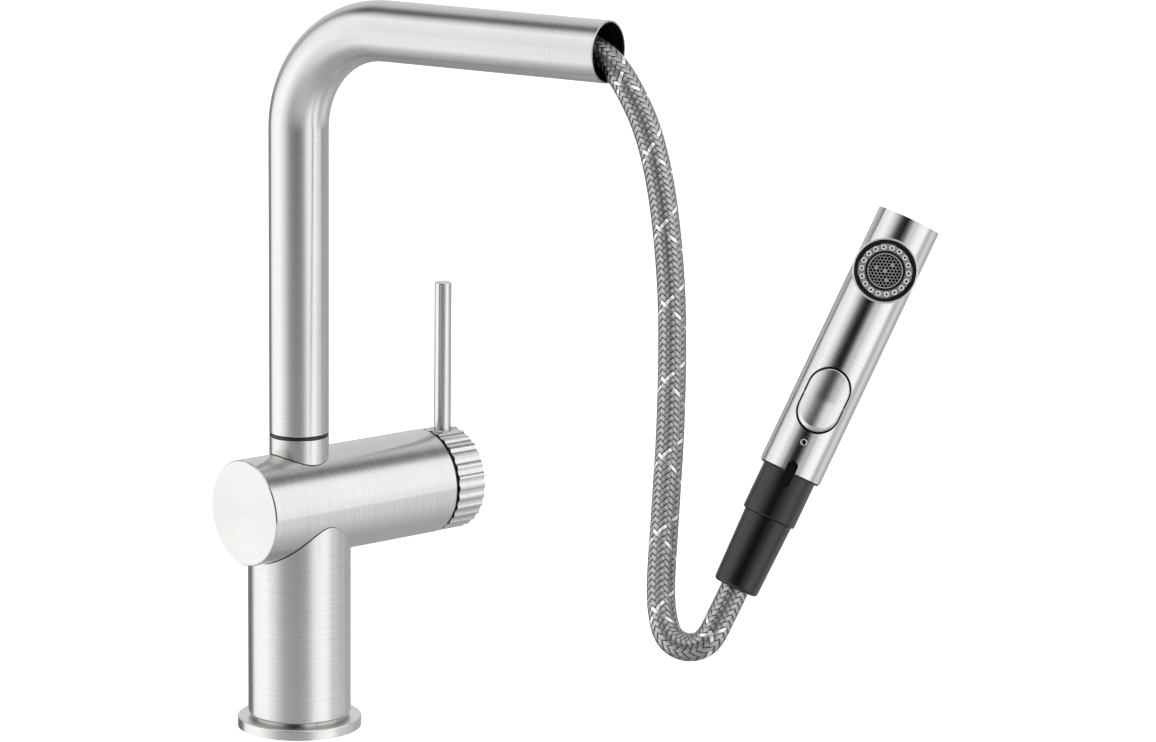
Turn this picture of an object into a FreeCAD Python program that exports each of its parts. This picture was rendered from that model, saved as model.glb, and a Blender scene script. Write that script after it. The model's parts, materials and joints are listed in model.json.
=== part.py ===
"""Pull-out kitchen mixer tap: a deck-mounted column, a cross barrel with a side lever, an L-shaped
spout that swivels, and a hand spray on a braided hose, shown pulled out.

Millimetres. The origin is the centre of the flange's underside on the worktop, +Z is up, and the
barrel lies along X with the lever at +X. The spout points along -Y, turned by spout_turn.
"""
import FreeCAD, Part
import math
import os
import re

import Sketcher
from FreeCAD import Placement, Rotation, Vector

# Driving dimensions: name, value, what it is
SIZE_TABLE = [
    ("fit_gap", 0.1, "clearance between pieces fixed together"),
    ("run_gap", 0.3, "clearance between pieces that move on each other"),
    ("slip_gap", 0.05, "clearance of a lapped or turning fit"),
    # spout
    ("tube_dia", 28.0, "spout tube, outside"),
    ("tube_wall", 1.0, "spout tube wall"),
    ("bend_radius", 49.0, "spout bend, centre line"),
    ("arm_height", 334.5, "spout arm axis above the worktop"),
    ("reach", 168.0, "tube axis to spout mouth"),
    ("spout_turn", 16.5, "degrees the spout is swivelled at rest"),
    ("sleeve_length", 40.0, "docking sleeve inside the mouth"),
    ("sleeve_inset", 5.0, "sleeve set back from the mouth"),
    ("dock_gap", 0.2, "docking collar to sleeve, on the radius"),
    ("rib_width", 3.0, "key rib in the sleeve"),
    ("rib_height", 1.2, "key rib in the sleeve"),
    # swivel
    ("swivel_height", 140.4, "top of the neck above the worktop"),
    ("ring_height", 1.4, "dark swivel ring"),
    ("ring_inset", 0.1, "swivel ring set in from the tube"),
    ("neck_bore", 22.0, "bore of the neck"),
    ("spigot_bore", 15.0, "hose passage in the swivel spigot"),
    ("spigot_drop", 17.0, "spigot below the top of the neck"),
    ("spigot_lip", 5.0, "spigot above the bush"),
    ("bush_inset", 1.3, "bush above the tube's lower edge"),
    ("bush_length", 24.0, "spout bush"),
    ("bush_gap", 0.4, "bush to spigot, on the radius"),
    ("o_ring_section", 1.4, "swivel seal thickness"),
    ("o_ring_groove", 1.2, "swivel seal groove depth"),
    ("o_ring_inset", 5.0, "seals from each end of the bush"),
    ("clip_height", 1.2, "spout retaining clip"),
    ("clip_groove", 0.9, "clip groove depth"),
    # base
    ("flange_dia", 58.5, "base flange"),
    ("flange_height", 5.0, "base flange rim"),
    ("flange_edge", 0.8, "rounding of the flange rim"),
    ("foot_gap", 1.4, "shadow gap under the column"),
    ("foot_gap_dia", 44.0, "step inside the shadow gap"),
    ("gasket_dia", 53.0, "base gasket, outside"),
    ("gasket_bore", 46.0, "base gasket, inside"),
    ("gasket_height", 1.5, "base gasket"),
    ("column_dia", 48.5, "base column"),
    ("column_wall", 3.0, "base column wall"),
    ("column_bevel", 0.6, "bevel at the column's foot"),
    ("shank_dia", 33.0, "threaded shank"),
    ("shank_bore", 29.4, "passage in the shank"),
    ("shank_length", 58.0, "shank below the worktop's upper face"),
    ("shank_socket", 10.0, "shank screwed into the manifold"),
    ("deck_thickness", 30.0, "worktop that the fixings are drawn for"),
    ("washer_dia", 52.0, "both fixing washers"),
    ("rubber_height", 3.0, "rubber washer"),
    ("washer_height", 1.5, "steel washer"),
    ("nut_flats", 42.0, "shank nut across flats"),
    ("nut_height", 10.0, "shank nut"),
    # water ways
    ("manifold_height", 40.0, "inlet manifold"),
    ("port_circle", 19.0, "circle of the three ports"),
    ("port_spread", 70.0, "degrees from the middle port to each inlet"),
    ("port_dia", 9.0, "tapped port wall, for an M10x1 hose tail"),
    ("port_depth", 11.0, "tapped port"),
    ("pipe_dia", 6.0, "feed pipe, outside"),
    ("pipe_bore", 4.4, "feed pipe, inside"),
    ("pipe_bend", 9.0, "feed pipe bend, centre line"),
    ("pipe_socket", 8.0, "feed pipe let into the manifold"),
    ("feed_rise", 3.0, "inlet pipes above the barrel axis"),
    ("return_drop", 9.0, "return pipe below the barrel axis"),
    # barrel
    ("barrel_dia", 50.0, "mixer barrel"),
    ("barrel_height", 107.5, "barrel axis above the worktop"),
    ("barrel_blind", 32.5, "tube axis to the blind end"),
    ("barrel_open", 76.0, "tube axis to the lever end"),
    ("barrel_wall", 3.0, "barrel wall"),
    ("blind_wall", 4.0, "barrel's end wall"),
    ("barrel_bevel", 0.5, "bevel at the barrel's ends"),
    ("well_dia", 32.0, "opening from the column into the barrel"),
    # cartridge
    ("seat_inset", 56.0, "cartridge seat behind the barrel's mouth"),
    ("seat_length", 8.0, "cartridge seat"),
    ("seat_socket", 5.0, "feed pipes let into the seat"),
    ("cartridge_dia", 35.0, "mixing cartridge"),
    ("cartridge_wall", 2.2, "cartridge housing wall"),
    ("cart_base_length", 5.0, "cartridge base"),
    ("seal_section", 1.2, "port seal thickness"),
    ("seal_dia", 7.0, "port seal, centre line"),
    ("fixed_disc_height", 4.0, "fixed ceramic disc"),
    ("moving_disc_height", 3.5, "moving ceramic disc"),
    ("moving_disc_dia", 22.0, "moving ceramic disc"),
    ("carrier_length", 14.5, "cartridge carrier"),
    ("carrier_neck", 6.0, "carrier's front neck"),
    ("carrier_neck_dia", 21.2, "carrier's front neck"),
    ("front_wall", 4.0, "cartridge housing's front wall"),
    ("shoulder_dia", 41.0, "cartridge shoulder under the ring nut"),
    ("shoulder_height", 4.0, "cartridge shoulder"),
    ("shoulder_inset", 3.4, "shoulder behind the cartridge's front"),
    ("ring_nut_length", 13.4, "cartridge ring nut"),
    ("end_ring_bore", 34.0, "black ring in the barrel's mouth"),
    ("end_ring_inset", 0.6, "black ring set back from the barrel's mouth"),
    # lever
    ("cap_gap", 2.0, "gap between barrel and handle cap"),
    ("cap_dia", 49.6, "handle cap over the flutes"),
    ("cap_length", 15.5, "handle cap"),
    ("cap_bore", 46.0, "hollow of the handle cap"),
    ("cap_disc", 3.0, "handle cap's end wall"),
    ("flute_count", 30, "flutes around the cap"),
    ("flute_radius", 3.8, "cutter that makes a flute"),
    ("flute_depth", 0.7, "flute"),
    ("hub_dia", 16.0, "hub inside the cap"),
    ("hub_length", 8.0, "hub inside the cap"),
    ("boss_width", 12.0, "block under the rod"),
    ("tilt_arm", 30.0, "cap rim to the tilt pivot"),
    ("stem_width", 8.0, "square lever stem"),
    ("stem_tip_arm", 8.2, "tilt pivot to the stem's ball tip"),
    ("stem_tip_dia", 3.0, "ball tip"),
    ("slot_side_gap", 0.3, "stem to carrier slot"),
    ("slot_low", 9.6, "carrier slot below the axis"),
    ("slot_high", 7.5, "carrier slot above the axis"),
    ("pin_dia", 3.0, "tilt pivot pin"),
    ("pin_length", 24.0, "tilt pivot pin"),
    ("rod_dia", 8.1, "lever rod"),
    ("rod_edge", 0.8, "rounding of the rod's end"),
    ("rod_seat", 12.0, "rod's lower end from the barrel axis"),
    ("rod_top", 203.5, "rod's end above the worktop"),
    ("rod_inset", 6.5, "rod axis from the cap's outer face"),
    ("spot_dia", 10.4, "spot face around the rod"),
    ("spot_depth", 1.0, "spot face under the flutes"),
    ("grub_dia", 4.0, "grub screw in the hub"),
    ("grub_length", 4.0, "grub screw in the hub"),
    ("hex_socket", 2.0, "grub screw socket across corners"),
    # hose
    ("hose_dia", 12.4, "braided hose"),
    ("hose_offset", 5.5, "hose off the axis in the shank and in the arm"),
    ("hose_gap", 0.6, "hose to its passage, on the radius"),
    ("hose_start", 126.0, "tube axis to the end of the hose's straight stretch in the arm"),
    ("arm_hose_start", 54.0, "tube axis to the start of that stretch"),
    ("tail_drop", 14.0, "hose end below the shank"),
    ("ferrule_wall", 0.9, "crimped ferrules"),
    ("ferrule_length", 14.0, "crimped ferrules"),
    ("tail_nut_flats", 14.0, "hose tail nut across flats"),
    ("tail_nut_height", 13.0, "hose tail nut"),
    # handset
    ("handset_spin", -63.5, "degrees about its own axis"),
    ("shell_length", 119.6, "steel handset shell"),
    ("shell_wall", 1.3, "steel handset shell wall"),
    ("end_cap_height", 3.0, "disc in the handset's end"),
    ("end_cap_inset", 0.3, "disc set back from the end"),
    ("notch_width", 4.7, "notch in the shell's lower edge"),
    ("notch_depth", 4.8, "notch in the shell's lower edge"),
    ("collar_dia", 24.0, "docking collar"),
    ("collar_length", 22.0, "docking collar below the shell"),
    ("collar_spigot", 16.0, "docking collar inside the shell"),
    ("collar_bore", 20.0, "docking collar"),
    ("key_width", 4.2, "key slot in the collar"),
    ("key_depth", 1.4, "key slot in the collar"),
    ("key_length", 7.3, "key slot below the shell"),
    ("lip_dia", 26.8, "lip seal under the shell"),
    ("lip_height", 0.9, "lip seal under the shell"),
    ("cover_length", 33.4, "tapered hose nut"),
    ("cover_top_dia", 21.7, "tapered hose nut at the collar"),
    ("cover_end_dia", 20.0, "tapered hose nut at the hose"),
    ("cover_spigot", 12.0, "hose nut screwed into the collar"),
    ("cone_dia", 16.2, "hose end cone"),
    ("cone_flange", 5.0, "hose end cone's flange"),
    ("cone_nose", 5.0, "hose end cone's nose"),
    ("cone_bore", 8.0, "water way in the cone"),
    ("hose_end", 45.0, "end of the braid below the shell"),
    ("washer_section", 2.0, "sealing washer on the cone"),
    ("screw_place", 13.8, "set screw above the shell's lower edge"),
    ("screw_dia", 3.0, "set screw"),
    ("screw_length", 3.7, "set screw"),
    ("core_inset", 40.6, "inner core below the handset's end"),
    ("core_way", 4.0, "water way in the core"),
    ("core_way_offset", 7.6, "water way behind the handset's axis"),
    ("rocker_place", 33.6, "rocker above the shell's lower edge"),
    ("rocker_length", 28.0, "spray rocker"),
    ("rocker_width", 18.0, "spray rocker"),
    ("rocker_end_gap", 0.95, "rocker to its window, at the ends"),
    ("rocker_side_gap", 0.6, "rocker to its window, at the sides"),
    ("rocker_proud", 0.2, "rocker above the shell"),
    ("rocker_tilt", 6.0, "degrees between the rocker's two faces"),
    ("rocker_floor", 4.6, "rocker's underside from the handset's axis"),
    ("rocker_pivot", 6.0, "rocker pin from the handset's axis"),
    ("rocker_pin_dia", 2.0, "rocker pin"),
    ("pocket_floor", 2.6, "rocker pocket's floor from the handset's axis"),
    ("pocket_gap", 2.0, "pocket beyond the rocker's ends"),
    ("plunger_place", 10.0, "diverter plunger below the rocker's middle"),
    ("plunger_dia", 4.4, "diverter plunger"),
    ("plunger_length", 4.7, "diverter plunger"),
    ("spring_room", 5.0, "space behind the plunger"),
    ("spring_length", 3.3, "plunger spring"),
    ("spring_dia", 3.2, "plunger spring, centre line"),
    ("spring_wire", 0.5, "plunger spring wire"),
    ("spring_turns", 4, "plunger spring"),
    # spray face
    ("spray_inset", 24.8, "spray face's centre from the handset's end"),
    ("boss_dia", 28.2, "spray boss"),
    ("boss_height", 15.4, "spray boss from the handset's axis"),
    ("boss_wall", 0.8, "spray boss wall"),
    ("boss_floor", 2.0, "spray boss hollow from the handset's axis"),
    ("spray_inset_depth", 0.8, "spray housing below the boss rim"),
    ("nozzle_ring_dia", 23.6, "nozzle ring, outside"),
    ("nozzle_ring_bore", 17.0, "nozzle ring, inside"),
    ("nozzle_ring_depth", 3.2, "nozzle ring"),
    ("nozzle_ring_inset", 0.4, "nozzle ring below the spray housing's face"),
    ("nozzle_count", 18, "nozzles"),
    ("nozzle_circle", 20.2, "circle of the nozzles"),
    ("nozzle_dia", 2.5, "nozzle"),
    ("nozzle_height", 0.9, "nozzle above its ring"),
    ("nozzle_hole", 0.9, "hole in a nozzle"),
    ("nozzle_hole_depth", 2.0, "hole in a nozzle"),
    ("jet_dia", 16.8, "aerator body"),
    ("jet_length", 8.5, "aerator body"),
    ("jet_lip", 1.2, "aerator body wall at the screen"),
    ("screen_height", 0.6, "aerator screen"),
    ("screen_inset", 0.8, "aerator screen below the aerator body"),
    ("screen_pitch", 1.55, "aerator screen holes"),
    ("screen_hole", 1.15, "aerator screen hole"),
    ("screen_rings", 4, "rings of holes around the middle one"),
]
SIZES = {name: value for name, value, note in SIZE_TABLE}

# The hose's route below, hand-placed in the spout's own frame: along the spout, across it, up.
# The first run continues the stretch in the arm, and the last lies on the handset's axis.
HOSE_ROUTE = [
    (126.0, 0.0, 340.0),
    (143.0, 0.0, 340.0),
    (160.5, 0.0, 335.5),
    (174.0, 1.4, 326.2),
    (192.7, 0.7, 294.8),
    (207.0, -7.3, 240.0),
    (217.7, -23.8, 184.5),
    (226.4, -43.2, 137.0),
    (231.5, -54.3, 112.8),
    (235.2, -58.8, 102.2),
    (239.4, -61.3, 93.6),
    (245.3, -61.0, 89.6),
    (252.2, -59.1, 89.3),
    (258.0, -56.9, 93.0),
    (261.1, -53.3, 102.3),
    (264.7, -48.9, 113.7),
    (267.9, -44.2, 124.8),
]

# Where the hose turns inside the spout's bend, in bend radii from the riser's axis and below the arm's axis.
RISER_TURN_IN = 0.17
RISER_TURN_DROP = 0.25
RISER_TURN_OUT = 0.68

# Heights and places along the barrel that several pieces share
COLUMN_FOOT = "(flange_height + foot_gap)"
MANIFOLD_TOP = "(flange_height + foot_gap + manifold_height)"
TUBE_FOOT = "(swivel_height + ring_height + run_gap)"
BUSH_FOOT = "(swivel_height + ring_height + run_gap + bush_inset)"
TUBE_INSIDE = "(tube_dia / 2 - tube_wall)"
SPIGOT_RADIUS = "(neck_bore / 2 - fit_gap)"
BARREL_INSIDE = "(barrel_dia / 2 - barrel_wall)"
SEAT_START = "(barrel_open - seat_inset)"
CARTRIDGE_START = "(barrel_open - seat_inset + seat_length)"
DISC_START = "(barrel_open - seat_inset + seat_length + cart_base_length)"
MOVING_START = "(barrel_open - seat_inset + seat_length + cart_base_length + fixed_disc_height + slip_gap)"
CARRIER_START = ("(barrel_open - seat_inset + seat_length + cart_base_length + fixed_disc_height"
                 " + moving_disc_height + 2 * slip_gap)")
CARRIER_END = ("(barrel_open - seat_inset + seat_length + cart_base_length + fixed_disc_height"
               " + moving_disc_height + 2 * slip_gap + carrier_length)")
HOUSING_END = CARRIER_END[:-1] + " + run_gap + front_wall)"
CAP_START = "(barrel_open + cap_gap)"
CAP_END = "(barrel_open + cap_gap + cap_length)"
PIVOT = "(barrel_open + cap_gap - tilt_arm)"
ROD_PLACE = "(barrel_open + cap_gap + cap_length - rod_inset)"
SHELL_INSIDE = "(tube_dia / 2 - shell_wall)"
SPRAY_PLACE = "(shell_length - spray_inset)"
SPRAY_FACE = "(boss_height - spray_inset_depth)"
COVER_END = "(collar_length + cover_length)"
CONE_FOOT = "(hose_end - ferrule_length / 2)"
CORE_TOP = "(shell_length - core_inset)"
CORE_FOOT = "(cover_spigot - collar_length + fit_gap)"
WASHER_FOOT = "(cone_flange + cone_nose + run_gap - hose_end + ferrule_length / 2)"
POCKET_HALF = "(rocker_length / 2 + pocket_gap)"

doc = FreeCAD.newDocument("PullOutTap")
sheet = doc.addObject("Spreadsheet::Sheet", "Sizes")
for row, (size_name, size_value, size_note) in enumerate(SIZE_TABLE, start=1):
    sheet.set(f"A{row}", size_name)
    sheet.set(f"B{row}", str(size_value))
    sheet.set(f"C{row}", size_note)
    sheet.setAlias(f"B{row}", size_name)
doc.recompute()
size = sheet.get
nodes = []

FACING = {
    "X": Rotation(Vector(0, 1, 0), 90),
    "Y": Rotation(Vector(1, 0, 0), -90),
    "Z": Rotation(),
}


def formula(text):
    """Writes the size names in a formula as cells of the sheet."""
    return re.sub(r"[a-z]\w*", lambda word: f"Sizes.{word.group()}" if word.group() in SIZES
                  else word.group(), text)


def bind(item, **formulas):
    for name, text in formulas.items():
        item.setExpression(name, formula(text))
    return item


def put(item, base, facing="Z"):
    """Places an item at a point given as three formulas, with its own Z along an axis."""
    item.Placement = Placement(Vector(), FACING[facing])
    for axis, text in zip("xyz", base):
        item.setExpression(f"Placement.Base.{axis}", formula(text))
    return item


def cylinder(radius, height, base=("0", "0", "0"), facing="Z"):
    item = bind(doc.addObject("Part::Cylinder", "Cylinder"), Radius=radius, Height=height)
    return put(item, base, facing)


def cone(radius_low, radius_high, height, base=("0", "0", "0"), facing="Z"):
    item = bind(doc.addObject("Part::Cone", "Cone"), Radius1=radius_low, Radius2=radius_high,
                Height=height)
    return put(item, base, facing)


def box(length, width, height, base):
    item = bind(doc.addObject("Part::Box", "Box"), Length=length, Width=width, Height=height)
    return put(item, base)


def torus(ring, section, base, facing="Z"):
    item = bind(doc.addObject("Part::Torus", "Torus"), Radius1=ring, Radius2=section)
    return put(item, base, facing)


def hexagon(flats, height, base, facing="Z"):
    item = doc.addObject("Part::Prism", "Prism")
    item.Polygon = 6
    bind(item, Circumradius=f"({flats}) / sqrt(3)", Height=height)
    return put(item, base, facing)


def fuse(*pieces):
    item = doc.addObject("Part::MultiFuse", "Fusion")
    item.Shapes = list(pieces)
    return item


def cut(body, *tools):
    item = doc.addObject("Part::Cut", "Cut")
    item.Base = body
    item.Tool = fuse(*tools) if len(tools) > 1 else tools[0]
    return item


def common(first, second):
    item = doc.addObject("Part::Common", "Common")
    item.Base = first
    item.Tool = second
    return item


def tube(outer, inner, height, base=("0", "0", "0"), facing="Z"):
    return cut(cylinder(outer, height, base, facing), cylinder(inner, height, base, facing))


def ease(kind, body, amount, radius, axis, place):
    """Rounds or bevels the circular edges of one radius that lie at one place on an axis."""
    doc.recompute()
    item = doc.addObject(f"Part::{kind}", kind)
    item.Base = body
    item.Edges = [(number, amount, amount) for number, edge in enumerate(body.Shape.Edges, start=1)
                  if isinstance(edge.Curve, Part.Circle)
                  and abs(edge.Curve.Radius - radius) < 0.001
                  and abs(getattr(edge.Curve.Center, axis) - place) < 0.001]
    return item


def shape_item(shape):
    item = doc.addObject("Part::Feature", "Shape")
    item.Shape = shape
    return item


def node(label, item, placement=None):
    """Names a sub-part, and sets it into the frame that its sizes are given in."""
    if placement is not None:
        if item.ExpressionEngine and item.TypeId != "PartDesign::Body":
            whole = doc.addObject("Part::Refine", "Refine")
            whole.Source = item
            item = whole
        item.Placement = placement
    item.Label = label
    nodes.append(item)
    return item


def path_wire(points, radii):
    """Straight runs joined by tangent arcs of the given radii, one for each inner point."""
    edges = []
    start = points[0]
    for before, corner, after, radius in zip(points, points[1:], points[2:], radii):
        back = (before - corner).normalize()
        ahead = (after - corner).normalize()
        half = back.getAngle(ahead) / 2
        reach = radius / math.tan(half)
        middle = (back + ahead).normalize()
        centre = corner + middle * (radius / math.sin(half))
        arc_start = corner + back * reach
        arc_end = corner + ahead * reach
        edges.append(Part.LineSegment(start, arc_start).toShape())
        edges.append(Part.Arc(arc_start, centre - middle * radius, arc_end).toShape())
        start = arc_end
    edges.append(Part.LineSegment(start, points[-1]).toShape())
    return Part.Wire(edges)


def cord_radii(points):
    """The largest arc that each corner's two runs allow."""
    radii = []
    for before, corner, after in zip(points, points[1:], points[2:]):
        run = min((corner - before).Length, (after - corner).Length)
        turn = (corner - before).getAngle(after - corner)
        radii.append(0.45 * run / math.tan(turn / 2))
    return radii


def swept(points, radii, radius, label):
    wire = path_wire(points, radii)
    ring = Part.Wire(Part.Circle(points[0], points[1] - points[0], radius).toShape())
    solid = wire.makePipeShell([ring], True, False)
    ratio = solid.Volume / (math.pi * radius ** 2 * wire.Length)
    print(f"{label}: length {wire.Length:.1f}, radii {[round(r, 1) for r in radii]}, "
          f"volume over section times length {ratio:.4f}")
    return solid


def sketch_on(body, name, role, offset):
    """Adds a sketch to a body on one of its origin planes, set off along the plane's normal."""
    sketch = body.newObject("Sketcher::SketchObject", name)
    plane = next(item for item in body.Origin.OriginFeatures if item.Role == role)
    sketch.AttachmentSupport = (plane, "")
    sketch.MapMode = "FlatFace"
    sketch.setExpression("AttachmentOffset.Base.z", formula(offset))
    return sketch


def sketch_circle(sketch, name, radius, up=None):
    """Draws a circle about the sketch's origin, or a given way up its vertical axis."""
    start = Vector(0, 1, 0) if up else Vector()
    edge = sketch.addGeometry(Part.Circle(start, Vector(0, 0, 1), 1.0))
    if up:
        sketch.addConstraint(Sketcher.Constraint("PointOnObject", edge, 3, -2))
        rise = sketch.addConstraint(Sketcher.Constraint("DistanceY", -1, 1, edge, 3, 1.0))
        sketch.renameConstraint(rise, f"{name}_up")
        sketch.setExpression(f"Constraints.{name}_up", formula(up))
    else:
        sketch.addConstraint(Sketcher.Constraint("Coincident", edge, 3, -1, 1))
    round_size = sketch.addConstraint(Sketcher.Constraint("Radius", edge, 1.0))
    sketch.renameConstraint(round_size, f"{name}_radius")
    sketch.setExpression(f"Constraints.{name}_radius", formula(radius))


def feature(body, kind, name, sketch, length, reverse=False):
    item = body.newObject(f"PartDesign::{kind}", name)
    item.Profile = sketch
    item.Reversed = reverse
    bind(item, Length=length)
    return item


def polar(body, name, original, count, sketch):
    item = body.newObject("PartDesign::PolarPattern", name)
    item.Originals = [original]
    item.Axis = (sketch, ["N_Axis"])
    item.Angle = 360
    item.setExpression("Occurrences", formula(count))
    body.Tip = item
    return item


def barrel_shadow():
    """The barrel's outside, which shapes the saddles of the column and the neck."""
    return cylinder("barrel_dia / 2", "barrel_blind + barrel_open",
                    ("-barrel_blind", "0", "barrel_height"), "X")


def make_base():
    rim = cylinder("flange_dia / 2", "flange_height")
    rim = ease("Fillet", rim, size("flange_edge"), size("flange_dia") / 2, "z", size("flange_height"))
    step = cylinder("foot_gap_dia / 2", COLUMN_FOOT)
    shank_hole = cylinder("shank_dia / 2 + fit_gap", COLUMN_FOOT)
    groove = tube("gasket_dia / 2 + fit_gap", "gasket_bore / 2 - fit_gap", "gasket_height")
    node("base_flange", cut(fuse(rim, step), shank_hole, groove))
    node("base_gasket", tube("gasket_dia / 2", "gasket_bore / 2", "gasket_height"))

    foot = ("0", "0", COLUMN_FOOT)
    column = cylinder("column_dia / 2", f"barrel_height - {COLUMN_FOOT}", foot)
    column = ease("Chamfer", column, size("column_bevel"), size("column_dia") / 2, "z",
                  size("flange_height") + size("foot_gap"))
    hollow = cylinder("column_dia / 2 - column_wall", f"barrel_height - {COLUMN_FOOT}", foot)
    node("base_column", cut(column, hollow, barrel_shadow()))

    node("threaded_shank", tube("shank_dia / 2", "shank_bore / 2",
                                f"shank_length + {COLUMN_FOOT} + shank_socket",
                                ("0", "0", "-shank_length")))
    below = "-deck_thickness - rubber_height"
    node("rubber_washer", tube("washer_dia / 2", "shank_dia / 2 + run_gap", "rubber_height",
                               ("0", "0", below)))
    below += " - washer_height"
    node("steel_washer", tube("washer_dia / 2", "shank_dia / 2 + run_gap", "washer_height",
                              ("0", "0", below)))
    below += " - nut_height"
    node("shank_nut", cut(hexagon("nut_flats", "nut_height", ("0", "0", below)),
                          cylinder("shank_dia / 2 + slip_gap", "nut_height", ("0", "0", below))))


def port_places():
    """The three ports under the manifold: the return in the middle, and an inlet on each side."""
    circle = "port_circle / 2"
    return {
        "mixed_return_pipe": (circle, "0"),
        "feed_pipe_hot": (f"{circle} * cos(port_spread * 1deg)", f"{circle} * sin(port_spread * 1deg)"),
        "feed_pipe_cold": (f"{circle} * cos(port_spread * 1deg)", f"-{circle} * sin(port_spread * 1deg)"),
    }


def make_water_ways():
    block = cylinder("column_dia / 2 - column_wall - fit_gap", "manifold_height",
                     ("0", "0", COLUMN_FOOT))
    openings = [cylinder("shank_dia / 2 + slip_gap", "shank_socket", ("0", "0", COLUMN_FOOT)),
                cylinder("hose_dia / 2 + hose_gap", "manifold_height",
                         ("-hose_offset", "0", COLUMN_FOOT))]
    for across, aside in port_places().values():
        openings += [
            cylinder("port_dia / 2", "port_depth", (across, aside, f"{COLUMN_FOOT} + shank_socket")),
            cylinder("pipe_bore / 2", "manifold_height - shank_socket",
                     (across, aside, f"{COLUMN_FOOT} + shank_socket")),
            cylinder("pipe_dia / 2 + fit_gap", "pipe_socket",
                     (across, aside, f"{MANIFOLD_TOP} - pipe_socket")),
        ]
    node("inlet_manifold", cut(block, *openings))

    top = size("flange_height") + size("foot_gap") + size("manifold_height")
    spread = math.radians(size("port_spread"))
    circle = size("port_circle") / 2
    seat = size("barrel_open") - size("seat_inset")
    rises = {
        "mixed_return_pipe": (circle, 0.0, -size("return_drop")),
        "feed_pipe_hot": (circle * math.cos(spread), circle * math.sin(spread), size("feed_rise")),
        "feed_pipe_cold": (circle * math.cos(spread), -circle * math.sin(spread), size("feed_rise")),
    }
    for label, (across, aside, rise) in rises.items():
        points = [Vector(across, aside, top - size("pipe_socket")),
                  Vector(across, aside, size("barrel_height") + rise),
                  Vector(seat + size("seat_socket"), aside, size("barrel_height") + rise)]
        outer = swept(points, [size("pipe_bend")], size("pipe_dia") / 2, label)
        inner = swept(points, [size("pipe_bend")], size("pipe_bore") / 2, f"{label} bore")
        node(label, shape_item(outer.cut(inner)))


def make_barrel():
    outside = cylinder("barrel_dia / 2", "barrel_blind + barrel_open",
                       ("-barrel_blind", "0", "barrel_height"), "X")
    for place in (-size("barrel_blind"), size("barrel_open")):
        outside = ease("Chamfer", outside, size("barrel_bevel"), size("barrel_dia") / 2, "x", place)
    bore = cylinder(BARREL_INSIDE, "barrel_blind + barrel_open - blind_wall",
                    ("blind_wall - barrel_blind", "0", "barrel_height"), "X")
    well = cylinder("well_dia / 2", "barrel_height")
    neck_hole = cylinder("neck_bore / 2", "swivel_height - barrel_height", ("0", "0", "barrel_height"))
    node("mixer_barrel", cut(outside, bore, well, neck_hole))
    neck = tube("tube_dia / 2", "neck_bore / 2", "swivel_height - barrel_height",
                ("0", "0", "barrel_height"))
    node("spout_neck", cut(neck, barrel_shadow()))


def make_swivel():
    node("swivel_ring", tube("tube_dia / 2 - ring_inset", "neck_bore / 2", "ring_height",
                             ("0", "0", "swivel_height")))
    foot = ("0", "0", "swivel_height - spigot_drop")
    height = "spigot_drop + ring_height + run_gap + bush_inset + bush_length + spigot_lip"
    tools = [cylinder("spigot_bore / 2", height, foot)]
    rings = []
    for place in (f"{BUSH_FOOT} + o_ring_inset", f"{BUSH_FOOT} + bush_length - o_ring_inset"):
        tools.append(tube("neck_bore / 2", f"{SPIGOT_RADIUS} - o_ring_groove", "2 * o_ring_section",
                          ("0", "0", f"{place} - o_ring_section")))
        rings.append(torus(f"{SPIGOT_RADIUS} - o_ring_groove + o_ring_section / 2 + slip_gap",
                           "o_ring_section / 2", ("0", "0", place)))
    clip = ("0", "0", f"{BUSH_FOOT} + bush_length + run_gap")
    tools.append(tube("neck_bore / 2", f"{SPIGOT_RADIUS} - clip_groove", "clip_height", clip))
    node("swivel_spigot", cut(cylinder(SPIGOT_RADIUS, height, foot), *tools))
    node("swivel_o_rings", fuse(*rings))
    node("spout_clip", tube(f"{TUBE_INSIDE} - 2 * run_gap", f"{SPIGOT_RADIUS} - clip_groove + slip_gap",
                            "clip_height", clip))


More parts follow.
